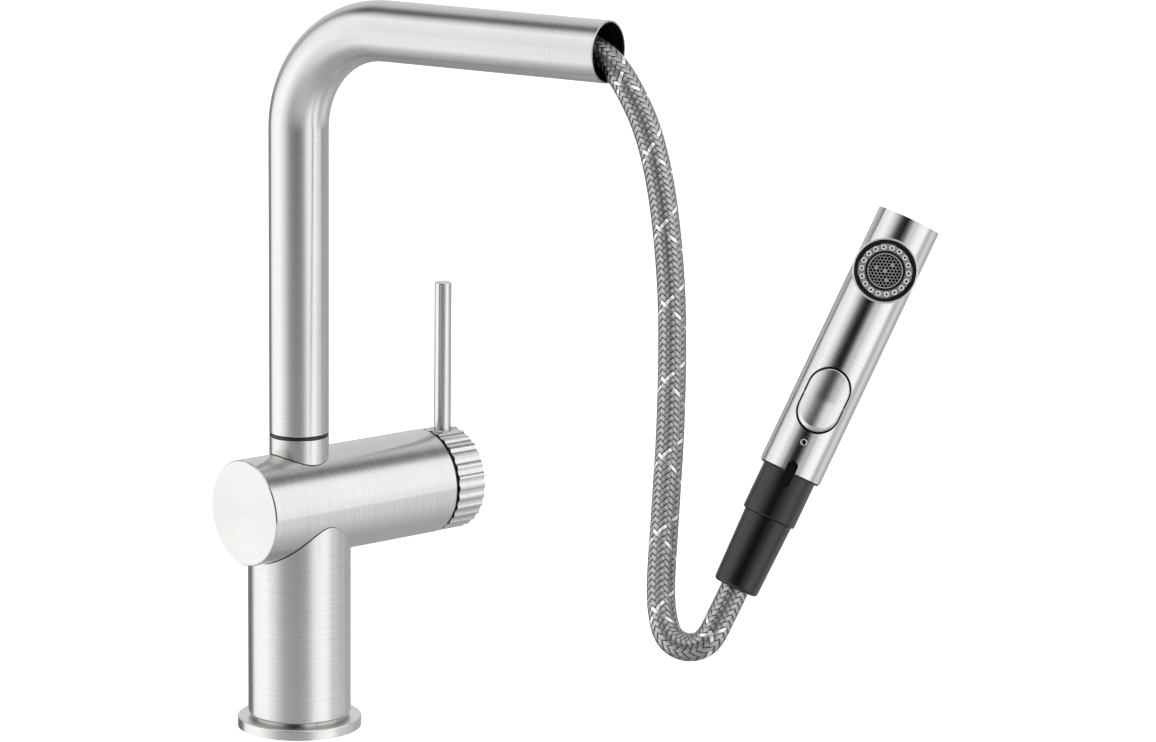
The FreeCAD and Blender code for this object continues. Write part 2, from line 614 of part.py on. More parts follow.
def make_cartridge():
    axis = "barrel_height"
    ports = [("port_circle / 2 * sin(port_spread * 1deg)", "feed_rise"),
             ("-port_circle / 2 * sin(port_spread * 1deg)", "feed_rise"), ("0", "-return_drop")]
    spots = [(aside, f"{axis} + {rise}") for aside, rise in ports]

    seat = cylinder(f"{BARREL_INSIDE} - fit_gap", "seat_length", (SEAT_START, "0", axis), "X")
    sockets = [cylinder("pipe_dia / 2 + fit_gap", "seat_socket", (SEAT_START, y, z), "X")
               for y, z in spots]
    ways = [cylinder("pipe_bore / 2", "seat_length", (SEAT_START, y, z), "X") for y, z in spots]
    node("cartridge_seat", cut(seat, *sockets, *ways))

    base = cylinder("cartridge_dia / 2", "cart_base_length", (CARTRIDGE_START, "0", axis), "X")
    ways = [cylinder("pipe_bore / 2", "cart_base_length", (CARTRIDGE_START, y, z), "X")
            for y, z in spots]
    rooms = [cylinder("seal_dia / 2 + seal_section / 2 + slip_gap", "seal_section + slip_gap",
                      (CARTRIDGE_START, y, z), "X") for y, z in spots]
    node("cartridge_base", cut(base, *ways, *rooms))
    node("cartridge_seals", fuse(*[torus("seal_dia / 2", "seal_section / 2",
                                         (f"{CARTRIDGE_START} + seal_section / 2", y, z), "X")
                                   for y, z in spots]))

    inside = "(cartridge_dia / 2 - cartridge_wall)"
    disc = cylinder(f"{inside} - fit_gap", "fixed_disc_height", (DISC_START, "0", axis), "X")
    ways = [cylinder("pipe_bore / 2", "fixed_disc_height", (DISC_START, y, z), "X") for y, z in spots]
    node("ceramic_disc_fixed", cut(disc, *ways))

    start = (DISC_START, "0", axis)
    length = f"{HOUSING_END} - {DISC_START}"
    shoulder = cylinder("shoulder_dia / 2", "shoulder_height",
                        (f"{HOUSING_END} - shoulder_inset - shoulder_height", "0", axis), "X")
    room = cylinder(inside, f"{length} - front_wall", start, "X")
    neck_way = cylinder("carrier_neck_dia / 2 + run_gap", length, start, "X")
    node("cartridge_housing", cut(fuse(cylinder("cartridge_dia / 2", length, start, "X"), shoulder),
                                  room, neck_way))
    nut_start = f"({HOUSING_END} - shoulder_inset)"
    node("cartridge_nut", tube(f"{BARREL_INSIDE} - fit_gap", "cartridge_dia / 2 + run_gap",
                               "ring_nut_length", (nut_start, "0", axis), "X"))
    ring_start = f"({HOUSING_END} - shoulder_inset + ring_nut_length)"
    node("barrel_end_ring", tube(f"{BARREL_INSIDE} - fit_gap", "end_ring_bore / 2",
                                 f"barrel_open - end_ring_inset - {ring_start}",
                                 (ring_start, "0", axis), "X"))

    moving = cylinder("moving_disc_dia / 2", "moving_disc_height", (MOVING_START, "0", axis), "X")
    tip_room = cylinder("stem_tip_dia / 2 + 2 * slot_side_gap", "moving_disc_height",
                        (f"{PIVOT} - stem_tip_arm - stem_tip_dia / 2 - slot_side_gap", "0", axis), "X")
    node("ceramic_disc_moving", cut(moving, tip_room))

    carrier = fuse(cylinder(f"{inside} - run_gap", "carrier_length", (CARRIER_START, "0", axis), "X"),
                   cylinder("carrier_neck_dia / 2", "carrier_length + carrier_neck",
                            (CARRIER_START, "0", axis), "X"))
    slot = box("carrier_length + carrier_neck", "stem_width + 2 * slot_side_gap", "slot_low + slot_high",
               (CARRIER_START, "-stem_width / 2 - slot_side_gap", f"{axis} - slot_low"))
    pin_way = cylinder("pin_dia / 2 + slip_gap", "cartridge_dia", (PIVOT, "-cartridge_dia / 2", axis), "Y")
    node("cartridge_carrier", cut(carrier, slot, pin_way))
    node("stem_pivot_pin", cylinder("pin_dia / 2", "pin_length", (PIVOT, "-pin_length / 2", axis), "Y"))


def make_lever():
    axis = "barrel_height"
    stem_start = f"({PIVOT} - stem_width / 2 - run_gap)"
    bar = box(f"{CAP_END} - cap_disc - fit_gap - {stem_start}", "stem_width", "stem_width",
              (stem_start, "-stem_width / 2", f"{axis} - stem_width / 2"))
    tip_place = f"{PIVOT} - stem_tip_arm"
    tip = bind(doc.addObject("Part::Sphere", "Sphere"), Radius="stem_tip_dia / 2")
    put(tip, (tip_place, "0", axis))
    neck = cylinder("stem_tip_dia / 3", f"{stem_start} - ({tip_place}) + slip_gap",
                    (tip_place, "0", axis), "X")
    pin_way = cylinder("pin_dia / 2 + slip_gap", "stem_width", (PIVOT, "-stem_width / 2", axis), "Y")
    node("lever_stem", cut(fuse(bar, neck, tip), pin_way))

    body = doc.addObject("PartDesign::Body", "CapBody")
    disc_sketch = sketch_on(body, "CapOutline", "YZ_Plane", CAP_START)
    sketch_circle(disc_sketch, "cap", "cap_dia / 2")
    feature(body, "Pad", "CapPad", disc_sketch, "cap_length")
    hollow_sketch = sketch_on(body, "CapHollow", "YZ_Plane", CAP_START)
    sketch_circle(hollow_sketch, "hollow", "cap_bore / 2")
    doc.recompute()
    feature(body, "Pocket", "CapPocket", hollow_sketch, "cap_length - cap_disc", reverse=True)
    flute_sketch = sketch_on(body, "FluteOutline", "YZ_Plane", CAP_START)
    sketch_circle(flute_sketch, "flute", "flute_radius", up="cap_dia / 2 + flute_radius - flute_depth")
    doc.recompute()
    plain_volume = body.Shape.Volume
    flute = feature(body, "Pocket", "Flute", flute_sketch, "cap_length", reverse=True)
    polar(body, "Flutes", flute, "flute_count", flute_sketch)
    put(body, ("0", "0", axis))
    doc.recompute()
    print(f"handle cap: flutes take {plain_volume - body.Shape.Volume:.0f} of {plain_volume:.0f} mm3")

    hub_start = f"({CAP_END} - cap_disc - hub_length)"
    hub = cylinder("hub_dia / 2", "hub_length + slip_gap", (hub_start, "0", axis), "X")
    block = box("hub_length + slip_gap", "boss_width", "cap_bore / 2 + slip_gap - hub_dia / 4",
                (hub_start, "-boss_width / 2", f"{axis} + hub_dia / 4"))
    block = common(block, cylinder("cap_bore / 2 + slip_gap", "cap_length", (CAP_START, "0", axis), "X"))
    stem_way = box("hub_length", "stem_width + 2 * fit_gap", "stem_width + 2 * fit_gap",
                   (hub_start, "-stem_width / 2 - fit_gap", f"{axis} - stem_width / 2 - fit_gap"))
    rod_way = cylinder("rod_dia / 2 + slip_gap", "cap_dia / 2", (ROD_PLACE, "0", f"{axis} + rod_seat"))
    spot = cylinder("spot_dia / 2", "cap_dia / 2",
                    (ROD_PLACE, "0", f"{axis} + cap_dia / 2 - flute_depth - spot_depth + flute_depth / 2"))
    grub_way = cylinder("grub_dia / 2 + slip_gap", "cap_dia / 2", (ROD_PLACE, "0", f"{axis} - cap_dia / 2"))
    node("handle_cap", cut(fuse(body, hub, block), stem_way, rod_way, spot, grub_way))

    rod = cylinder("rod_dia / 2", f"rod_top - {axis} - rod_seat", (ROD_PLACE, "0", f"{axis} + rod_seat"))
    rod = ease("Fillet", rod, size("rod_edge"), size("rod_dia") / 2, "z", size("rod_top"))
    node("handle_rod", rod)
    grub_top = f"({axis} - stem_width / 2 - fit_gap)"
    grub = cylinder("grub_dia / 2", "grub_length", (ROD_PLACE, "0", f"{grub_top} - grub_length"))
    socket = hexagon("hex_socket", "grub_length / 2", (ROD_PLACE, "0", f"{grub_top} - grub_length"))
    node("handle_grub_screw", cut(grub, socket))


def spout_frame():
    return Placement(Vector(), Rotation(Vector(0, 0, 1), size("spout_turn") - 90))


def bent_tube(radius):
    """The spout's L of one radius: riser, quarter bend and arm."""
    riser = cylinder(radius, f"arm_height - bend_radius - {TUBE_FOOT}", ("0", "0", TUBE_FOOT))
    bend = bind(doc.addObject("Part::Torus", "Bend"), Radius1="bend_radius", Radius2=radius)
    bend.Angle3 = 90
    put(bend, ("bend_radius", "0", "arm_height - bend_radius"))
    bend.Placement = Placement(bend.Placement.Base,
                               Rotation(Vector(0, 0, 1), Vector(-1, 0, 0), Vector(0, -1, 0), "XYZ"))
    arm = cylinder(radius, "reach - bend_radius", ("bend_radius", "0", "arm_height"), "X")
    return fuse(riser, bend, arm)


def make_spout():
    frame = spout_frame()
    node("spout_tube", cut(bent_tube("tube_dia / 2"), bent_tube(TUBE_INSIDE)), frame)
    node("spout_bush", tube(f"{TUBE_INSIDE} - fit_gap", "neck_bore / 2 + bush_gap", "bush_length",
                            ("0", "0", BUSH_FOOT)), frame)
    start = "reach - sleeve_inset - sleeve_length"
    bore = "(collar_dia / 2 + dock_gap)"
    sleeve = tube(f"{TUBE_INSIDE} - fit_gap", bore, "sleeve_length", (start, "0", "arm_height"), "X")
    rib = box("sleeve_length", "rib_width", f"{TUBE_INSIDE} - {bore} - fit_gap + rib_height - slip_gap",
              (start, "-rib_width / 2", f"arm_height - {TUBE_INSIDE} + fit_gap + slip_gap"))
    node("docking_sleeve", fuse(sleeve, rib), frame)


def make_hoses():
    radius = size("hose_dia") / 2
    low = -size("shank_length") - size("tail_drop")
    manifold_top = size("flange_height") + size("foot_gap") + size("manifold_height")
    off = size("hose_offset")
    top = size("swivel_height") + size("ring_height")
    points = [Vector(-off, 0, low), Vector(-off, 0, manifold_top + off), Vector(0, 0, top - 2 * off),
              Vector(0, 0, top)]
    node("hose_column", shape_item(swept(points, cord_radii(points), radius, "hose_column")))
    ferrule = ("-hose_offset", "0", "-shank_length - tail_drop")
    node("hose_tail_ferrule", tube("hose_dia / 2 + ferrule_wall", "hose_dia / 2 + slip_gap",
                                   "ferrule_length", ferrule))
    nut = ("-hose_offset", "0", "-shank_length - tail_drop - tail_nut_height")
    node("hose_tail_nut", cut(hexagon("tail_nut_flats", "tail_nut_height", nut),
                              cylinder("port_dia / 2", "tail_nut_height - ferrule_wall", nut)))

    frame = spout_frame()
    arm = size("arm_height")
    bend = size("bend_radius")
    points = [Vector(0, 0, top + size("run_gap")), Vector(0, 0, arm - bend + off),
              Vector(RISER_TURN_IN * bend, 0, arm - RISER_TURN_DROP * bend),
              Vector(RISER_TURN_OUT * bend, 0, arm + off),
              Vector(size("arm_hose_start") - size("slip_gap"), 0, arm + off)]
    node("hose_riser", shape_item(swept(points, cord_radii(points), radius, "hose_riser")), frame)
    node("hose_arm", cylinder("hose_dia / 2", "hose_start - arm_hose_start",
                              ("arm_hose_start", "0", "arm_height + hose_offset"), "X"), frame)
    points = [Vector(*place) for place in HOSE_ROUTE]
    node("hose_free", shape_item(swept(points, cord_radii(points), radius, "hose_free")), frame)


def handset_frame():
    """The middle of the shell's lower edge, with Z up the handset and X out of the spray face.

    The handset stands on the end of the hose, in line with the hose's last run.
    """
    hose_tip = Vector(*HOSE_ROUTE[-1])
    up = (hose_tip - Vector(*HOSE_ROUTE[-2])).normalize()
    turn = Rotation(Vector(0, 0, 1), up) * Rotation(Vector(0, 0, 1), size("handset_spin"))
    return spout_frame() * Placement(hose_tip + up * size("hose_end"), turn)


def stadium(length, width, low, high, middle):
    """A block with half-round ends, from low to high on X and its length along Z."""
    depth = f"({high}) - ({low})"
    straight = f"(({length}) - ({width})) / 2"
    ends = [cylinder(f"({width}) / 2", depth, (low, "0", f"{middle} {sign} {straight}"), "X")
            for sign in "+-"]
    block = box(depth, width, f"2 * {straight}", (low, f"-({width}) / 2", f"{middle} - {straight}"))
    return fuse(block, *ends)


def make_handset_shell(frame):
    boss = cylinder("boss_dia / 2", "boss_height", ("0", "0", SPRAY_PLACE), "X")
    hollow = cylinder(SHELL_INSIDE, "shell_length")
    spray_room = cylinder("boss_dia / 2 - boss_wall", "boss_height - boss_floor",
                          ("boss_floor", "0", SPRAY_PLACE), "X")
    window = stadium("rocker_length + 2 * rocker_end_gap", "rocker_width + 2 * rocker_side_gap",
                     "rocker_floor", "tube_dia", "rocker_place")
    screw_way = cylinder("screw_dia / 2 + fit_gap", "tube_dia / 2", ("0", "0", "screw_place"), "X")
    notch_end = cylinder("notch_width / 2", "tube_dia / 2", ("0", "0", "notch_depth - notch_width / 2"), "X")
    notch_slot = box("tube_dia / 2", "notch_width", "notch_depth - notch_width / 2",
                     ("0", "-notch_width / 2", "0"))
    node("handset_shell", cut(fuse(cylinder("tube_dia / 2", "shell_length"), boss),
                              hollow, spray_room, window, screw_way, notch_end, notch_slot), frame)
    node("handset_end_cap", cylinder(f"{SHELL_INSIDE} - fit_gap", "end_cap_height",
                                     ("0", "0", "shell_length - end_cap_inset - end_cap_height")), frame)
    screw_start = "(tube_dia / 2 - screw_length)"
    screw = cylinder("screw_dia / 2", "screw_length", (screw_start, "0", "screw_place"), "X")
    socket = hexagon("screw_dia / 2", "screw_length / 2",
                     ("tube_dia / 2 - screw_length / 2", "0", "screw_place"), "X")
    node("set_screw", cut(screw, socket), frame)


def key_slot():
    """The round-ended slot that meets the shell's notch and keys the collar in the sleeve."""
    return stadium("key_length + notch_depth", "key_width", "collar_dia / 2 - key_depth", "tube_dia / 2",
                   "(notch_depth - key_length) / 2")


def make_docking_collar(frame):
    collar = fuse(cylinder("collar_dia / 2", "collar_length", ("0", "0", "-collar_length")),
                  cylinder(f"{SHELL_INSIDE} - fit_gap", "collar_spigot"))
    bore = cylinder("collar_bore / 2", "collar_length + collar_spigot", ("0", "0", "-collar_length"))
    screw_way = cylinder("screw_dia / 2 + slip_gap", "tube_dia / 2", ("0", "0", "screw_place"), "X")
    node("docking_collar", cut(collar, bore, key_slot(), screw_way), frame)
    lip = tube("lip_dia / 2", "collar_dia / 2 + slip_gap", "lip_height", ("0", "0", "-lip_height"))
    node("docking_lip_seal", cut(lip, key_slot()), frame)

    taper = cone("cover_end_dia / 2", "cover_top_dia / 2", "cover_length", ("0", "0", f"-{COVER_END}"))
    thread = cylinder("collar_bore / 2 - fit_gap", "cover_spigot + cover_length / 2",
                      ("0", "0", "-collar_length - cover_length / 2"))
    wide = cylinder("cone_dia / 2 + run_gap", f"{COVER_END} + cover_spigot",
                    ("0", "0", f"-{CONE_FOOT} - run_gap"))
    narrow = cylinder("hose_dia / 2 + ferrule_wall + run_gap", COVER_END, ("0", "0", f"-{COVER_END}"))
    node("hose_nut_cover", cut(fuse(taper, thread), wide, narrow), frame)

    foot = ("0", "0", f"-{CONE_FOOT} - ferrule_length")
    node("hose_ferrule", cut(cylinder("hose_dia / 2 + ferrule_wall", "ferrule_length", foot),
                             cylinder("hose_dia / 2 + fit_gap", "ferrule_length / 2", foot),
                             cylinder("cone_bore / 2", "ferrule_length", foot)), frame)
    cone_solid = fuse(cylinder("cone_dia / 2", "cone_flange", ("0", "0", f"-{CONE_FOOT}")),
                      cone("cone_dia / 2", "cone_dia / 3", "cone_nose",
                           ("0", "0", f"cone_flange - {CONE_FOOT}")))
    node("hose_cone", cut(cone_solid, cylinder("cone_bore / 2", "cone_flange + cone_nose",
                                               ("0", "0", f"-{CONE_FOOT}"))), frame)
    node("hose_washer", tube("cone_dia / 2", "cone_bore / 2", "washer_section",
                             ("0", "0", WASHER_FOOT)), frame)
    node("check_valve", tube("cone_dia / 2", "cone_bore / 4",
                             f"{CORE_FOOT} - fit_gap - {WASHER_FOOT} - washer_section",
                             ("0", "0", f"{WASHER_FOOT} + washer_section")), frame)


def make_spray_switch(frame):
    wide_start = "(collar_spigot + fit_gap)"
    core = fuse(cylinder("collar_bore / 2 - fit_gap", f"{CORE_TOP} - {CORE_FOOT}", ("0", "0", CORE_FOOT)),
                cylinder(f"{SHELL_INSIDE} - fit_gap", f"{CORE_TOP} - {wide_start}", ("0", "0", wide_start)))
    chamber = cylinder("cone_dia / 2", "collar_spigot / 2", ("0", "0", CORE_FOOT))
    way = cylinder("core_way / 2", f"{CORE_TOP} - {CORE_FOOT}", ("-core_way_offset", "0", CORE_FOOT))
    pocket = box("tube_dia", "rocker_width + 2 * rocker_side_gap", f"2 * {POCKET_HALF}",
                 ("pocket_floor", "-rocker_width / 2 - rocker_side_gap", f"rocker_place - {POCKET_HALF}"))
    pin_way = cylinder("rocker_pin_dia / 2 + slip_gap", "tube_dia",
                       ("rocker_pivot", "-tube_dia / 2", "rocker_place"), "Y")
    plunger_way = cylinder("plunger_dia / 2 + run_gap", "rocker_floor + spring_room",
                           ("-spring_room", "0", "rocker_place - plunger_place"), "X")
    node("handset_core", cut(core, chamber, way, pocket, pin_way, plunger_way), frame)
    pin_half = f"(sqrt({SHELL_INSIDE} ^ 2 - (rocker_pivot + rocker_pin_dia / 2) ^ 2) - run_gap)"
    node("rocker_pin", cylinder("rocker_pin_dia / 2", f"2 * {pin_half}",
                                ("rocker_pivot", f"-{pin_half}", "rocker_place"), "Y"), frame)

    blank = stadium("rocker_length", "rocker_width", "rocker_floor", "tube_dia / 2 + rocker_length / 4",
                    "rocker_place")
    face = "(tube_dia / 2 + rocker_proud)"
    reach = "2 * rocker_length"
    upper = cylinder(face, reach, ("0", "0", "rocker_place - rocker_length"))
    lower = bind(doc.addObject("Part::Cylinder", "Cylinder"), Radius=face, Height=reach)
    tilt = math.radians(size("rocker_tilt"))
    crossing = (size("rocker_place")
                - (size("tube_dia") / 2 + size("rocker_proud")) * math.tan(tilt / 2))
    foot = Vector(size("rocker_length") * math.sin(tilt), 0,
                  crossing - size("rocker_length") * math.cos(tilt))
    lower.Placement = Placement(foot, Rotation(Vector(0, 1, 0), -size("rocker_tilt")))
    rocker_pin_way = cylinder("rocker_pin_dia / 2 + slip_gap", "rocker_width",
                              ("rocker_pivot", "-rocker_width / 2", "rocker_place"), "Y")
    node("rocker_button", cut(common(blank, fuse(upper, lower)), rocker_pin_way), frame)

    plunger_low = "(rocker_floor - run_gap - plunger_length)"
    place = "rocker_place - plunger_place"
    plunger = cylinder("plunger_dia / 2", "plunger_length", (plunger_low, "0", place), "X")
    node("diverter_plunger", plunger, frame)
    pitch = (size("spring_length") - size("spring_wire")) / size("spring_turns")
    helix = Part.makeLongHelix(pitch, size("spring_length") - size("spring_wire"), size("spring_dia") / 2)
    start = helix.Edges[0].Vertexes[0].Point
    wire_ring = Part.Wire(Part.Circle(start, Vector(0, 1, 0), size("spring_wire") / 2).toShape())
    coil = Part.Wire(helix.Edges).makePipeShell([wire_ring], True, True)
    spring_place = Vector(-size("spring_room") + size("spring_wire") / 2 + size("slip_gap"), 0,
                          size("rocker_place") - size("plunger_place"))
    node("plunger_spring", shape_item(coil), frame * Placement(spring_place, FACING["X"]))
    print(f"plunger spring: gap between turns {pitch - size('spring_wire'):.2f}")


def make_spray_face(frame):
    centre = SPRAY_PLACE
    housing = cylinder("boss_dia / 2 - boss_wall - fit_gap", f"{SPRAY_FACE} - boss_floor - fit_gap",
                       ("boss_floor + fit_gap", "0", centre), "X")
    ring_foot = f"({SPRAY_FACE} - nozzle_ring_inset - nozzle_ring_depth)"
    ring_room = cylinder("nozzle_ring_dia / 2 + fit_gap", "tube_dia", (ring_foot, "0", centre), "X")
    jet_foot = f"({SPRAY_FACE} - jet_length)"
    jet_room = cylinder("jet_dia / 2 + slip_gap", "tube_dia", (jet_foot, "0", centre), "X")
    node("aerator_housing", cut(housing, ring_room, jet_room), frame)

    body = doc.addObject("PartDesign::Body", "NozzleBody")
    ring_sketch = sketch_on(body, "RingOutline", "YZ_Plane", ring_foot)
    sketch_circle(ring_sketch, "outer", "nozzle_ring_dia / 2")
    sketch_circle(ring_sketch, "inner", "nozzle_ring_bore / 2")
    feature(body, "Pad", "RingPad", ring_sketch, "nozzle_ring_depth")
    tip_sketch = sketch_on(body, "NozzleOutline", "YZ_Plane", ring_foot)
    sketch_circle(tip_sketch, "tip", "nozzle_dia / 2", up="nozzle_circle / 2")
    doc.recompute()
    tip = feature(body, "Pad", "Nozzle", tip_sketch, "nozzle_ring_depth + nozzle_height")
    doc.recompute()
    polar(body, "Nozzles", tip, "nozzle_count", tip_sketch)
    hole_sketch = sketch_on(body, "HoleOutline", "YZ_Plane",
                            f"{ring_foot} + nozzle_ring_depth + nozzle_height")
    sketch_circle(hole_sketch, "hole", "nozzle_hole / 2", up="nozzle_circle / 2")
    doc.recompute()
    hole = feature(body, "Pocket", "NozzleHole", hole_sketch, "nozzle_hole_depth")
    doc.recompute()
    polar(body, "NozzleHoles", hole, "nozzle_count", hole_sketch)
    node("nozzle_ring", body, frame * Placement(Vector(0, 0, size("shell_length") - size("spray_inset")),
                                                Rotation()))

    jet = cylinder("jet_dia / 2", "jet_length", (jet_foot, "0", centre), "X")
    screen_foot = f"({SPRAY_FACE} - screen_inset - screen_height)"
    screen_room = cylinder("jet_dia / 2 - jet_lip", "tube_dia", (screen_foot, "0", centre), "X")
    jet_way = cylinder("jet_dia / 2 - 2 * jet_lip", "jet_length", (jet_foot, "0", centre), "X")
    node("aerator_body", cut(jet, screen_room, jet_way), frame)

    axis = Vector(1, 0, 0)
    start = Vector(size("boss_height") - size("spray_inset_depth") - size("screen_inset")
                   - size("screen_height"), 0, size("shell_length") - size("spray_inset"))
    rings = int(size("screen_rings"))
    screen_radius = size("jet_dia") / 2 - size("jet_lip") - size("fit_gap")
    outline = Part.Wire(Part.Circle(start, axis, screen_radius).toShape())
    holes = []
    for column in range(-rings, rings + 1):
        for row in range(-rings, rings + 1):
            if abs(column + row) <= rings:
                place = start + Vector(0, (column + row / 2) * size("screen_pitch"),
                                       row * size("screen_pitch") * math.sqrt(3) / 2)
                holes.append(Part.Wire(Part.Circle(place, axis, size("screen_hole") / 2).toShape()))
    sheet_face = Part.Face([outline] + holes, "Part::FaceMakerBullseye")
    node("aerator_screen", shape_item(sheet_face.extrude(axis * size("screen_height"))), frame)


def make_handset():
    frame = handset_frame()
    make_handset_shell(frame)
    make_docking_collar(frame)
    make_spray_switch(frame)
    make_spray_face(frame)


make_base()
make_water_ways()
make_barrel()
make_swivel()
make_cartridge()
make_lever()
make_spout()
make_hoses()
make_handset()
doc.recompute()

failed = [item.Label for item in doc.Objects if "Invalid" in item.State or "Error" in item.State]
broken = [item.Label for item in nodes if item.Shape.isNull() or not item.Shape.isValid()]
if failed or broken:
    raise RuntimeError(f"failed objects {failed}, broken shapes {broken}")
os.makedirs("parts", exist_ok=True)
for item in nodes:
    item.Shape.exportStep(os.path.join("parts", f"{item.Label}.step"))
print(f"{len(nodes)} sub-parts written")
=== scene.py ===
# %% [markdown]
# A pull-out kitchen tap, dressed for its portrait
#
# The construction of this tap comes in as a fixed frame of real-size parts: a base column, a mixing barrel
# lying across it, an L-shaped spout, a braided hose and a hand spray. This lesson gives those parts their
# edges, their brushed steel and their braid. Everything is in metres and stays where the frame puts it.

# %% Load the frame
import bisect
import json
import math

import bmesh
import bpy
from mathutils import Matrix, Vector


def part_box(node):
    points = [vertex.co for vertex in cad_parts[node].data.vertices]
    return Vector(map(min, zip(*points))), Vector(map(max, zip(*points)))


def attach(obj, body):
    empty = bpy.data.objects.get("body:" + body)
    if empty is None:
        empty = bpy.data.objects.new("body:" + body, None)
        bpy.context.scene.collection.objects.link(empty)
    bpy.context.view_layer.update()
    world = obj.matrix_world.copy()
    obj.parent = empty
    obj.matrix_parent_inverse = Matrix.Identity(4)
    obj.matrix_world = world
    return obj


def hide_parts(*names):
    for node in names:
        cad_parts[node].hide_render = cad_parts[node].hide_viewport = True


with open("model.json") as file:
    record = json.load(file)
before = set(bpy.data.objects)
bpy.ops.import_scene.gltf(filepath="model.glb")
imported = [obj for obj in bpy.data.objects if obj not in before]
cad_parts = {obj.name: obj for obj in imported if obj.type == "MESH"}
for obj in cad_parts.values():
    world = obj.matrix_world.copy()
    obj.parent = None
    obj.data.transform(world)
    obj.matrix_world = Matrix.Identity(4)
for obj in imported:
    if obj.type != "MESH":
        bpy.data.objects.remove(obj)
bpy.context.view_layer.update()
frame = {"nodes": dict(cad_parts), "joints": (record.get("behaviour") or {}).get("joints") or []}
scene = bpy.context.scene
scene.view_settings.view_transform = "Standard"
NODES = frame["nodes"]
JOINTS = {joint["name"]: joint for joint in frame["joints"]}
MM = 0.001
UP = Vector((0, 0, 1))

# %% [markdown]
# Three places matter on this tap: the spout's own plane, which is swivelled a little towards the viewer,
# the barrel's axis, and the hand spray, which hangs at a slant. The joints already know these directions,
# so the script reads them there instead of repeating angles. A place is a matrix whose Z is the piece's
# own axis.

# %% Places to work in


def placed(origin, along, across):
    """A place whose Z axis points along the piece and whose X axis points across it."""
    z_axis = Vector(along).normalized()
    x_axis = (Vector(across) - z_axis * Vector(across).dot(z_axis)).normalized()
    y_axis = z_axis.cross(x_axis)
    turn = Matrix((x_axis, y_axis, z_axis)).transposed().to_4x4()
    return Matrix.Translation(origin) @ turn


UPRIGHT = Matrix.Identity(4)
barrel_height = JOINTS["lever_turn"]["pos_m"][2]
BARREL = placed((0, 0, barrel_height), JOINTS["lever_turn"]["axis"], UP)
spray_up = Vector(JOINTS["handset_swivel"]["axis"])
spray_front = Vector(JOINTS["spray_rocker"]["axis"]).cross(spray_up)
HANDSET = placed(JOINTS["handset_swivel"]["pos_m"], spray_up, spray_front)
spout_way = Vector(JOINTS["hose_pull"]["axis"])
SPOUT = placed((0, 0, 0), UP, spout_way)
print("hand spray at", [round(value, 4) for value in HANDSET.translation])

# %% [markdown]
# The photograph was taken with a long lens from the front left, a little above the tap. A long lens keeps
# upright edges nearly parallel. The camera gets its place and its own right and up directions; Blender's
# camera looks along its local minus Z, so the third direction points backwards.

# %% Camera
CAMERA_PLACE = (-1.26086, -1.63212, 0.59757)
CAMERA_RIGHT = Vector((0.75259, -0.6584, 0.01088))
CAMERA_UP = Vector((0.12517, 0.15926, 0.97927))
LENS_LENGTH = 140.14
SENSOR_WIDTH = 36
camera_data = bpy.data.cameras.new("portrait_camera")
camera_data.lens = LENS_LENGTH
camera_data.sensor_width = SENSOR_WIDTH
camera_data.sensor_fit = "HORIZONTAL"
camera = bpy.data.objects.new("portrait_camera", camera_data)
camera_back = CAMERA_RIGHT.cross(CAMERA_UP)
camera_turn = Matrix((CAMERA_RIGHT, CAMERA_UP, camera_back)).transposed().to_4x4()
camera.matrix_world = Matrix.Translation(CAMERA_PLACE) @ camera_turn
scene.collection.objects.link(camera)
scene.camera = camera
CAMERA_BEARING = math.atan2(camera_back.y, camera_back.x)
print("camera bearing", round(math.degrees(CAMERA_BEARING), 1), "degrees")

# %% [markdown]
# Shader trees are long when every node and link is typed out, so small helpers do the typing. They take a
# node's inputs as a dictionary: a socket given as an input becomes a link, and anything else becomes the
# input's value.

# %% Helpers for shader trees


def set_inputs(tree, node, inputs):
    """Sets a node's inputs to values, or links them to the sockets that feed them."""
    for key, value in inputs.items():
        if isinstance(value, bpy.types.NodeSocket):
            tree.links.new(value, node.inputs[key])
        else:
            node.inputs[key].default_value = value


def add_node(tree, kind, inputs=None, **settings):
    """Adds a shader node with its settings and inputs."""
    node = tree.nodes.new("ShaderNode" + kind)
    for key, value in settings.items():
        setattr(node, key, value)
    set_inputs(tree, node, inputs or {})
    return node


def new_group(name, inputs, outputs):
    """A node group with named sockets: its tree, the sockets that come in, the node that they leave by."""
    tree = bpy.data.node_groups.new(name, "ShaderNodeTree")
    for label, kind, value in inputs:
        socket = tree.interface.new_socket(label, in_out="INPUT", socket_type="NodeSocket" + kind)
        if value is not None:
            socket.default_value = value
    for label, kind in outputs:
        tree.interface.new_socket(label, in_out="OUTPUT", socket_type="NodeSocket" + kind)
    entry = tree.nodes.new("NodeGroupInput")
    leave = tree.nodes.new("NodeGroupOutput")
    return tree, entry.outputs, leave


def use_group(tree, group, inputs):
    """Places a node group in a material with its own values."""
    return add_node(tree, "Group", inputs, node_tree=group).outputs


def new_material(name):
    """A material with its tree and its Principled shader."""
    material = bpy.data.materials.new(name)
    material.use_nodes = True
    return material, material.node_tree, material.node_tree.nodes["Principled BSDF"]


print("shader helpers ready")

# %% [markdown]
# Sums and blends come up in every finish, so each has a helper that hands back the socket of its result.
# A Mix node has one set of sockets for each kind of data, and the colours are found by their numbers.

# %% Helpers for sums and blends
MIX_FIRST, MIX_SECOND, MIX_RESULT = 6, 7, 2


def math_node(tree, operation, *values):
    """The result of a sum on values or sockets."""
    return add_node(tree, "Math", dict(enumerate(values)), operation=operation).outputs[0]


def vector_node(tree, operation, first, second):
    """The result of a sum on two vectors or sockets."""
    return add_node(tree, "VectorMath", {0: first, 1: second}, operation=operation).outputs[0]


def spread(tree, value, low, high):
    """Stretches a 0 to 1 value over a range."""
    return add_node(tree, "MapRange", {"Value": value, "To Min": low, "To Max": high}).outputs["Result"]


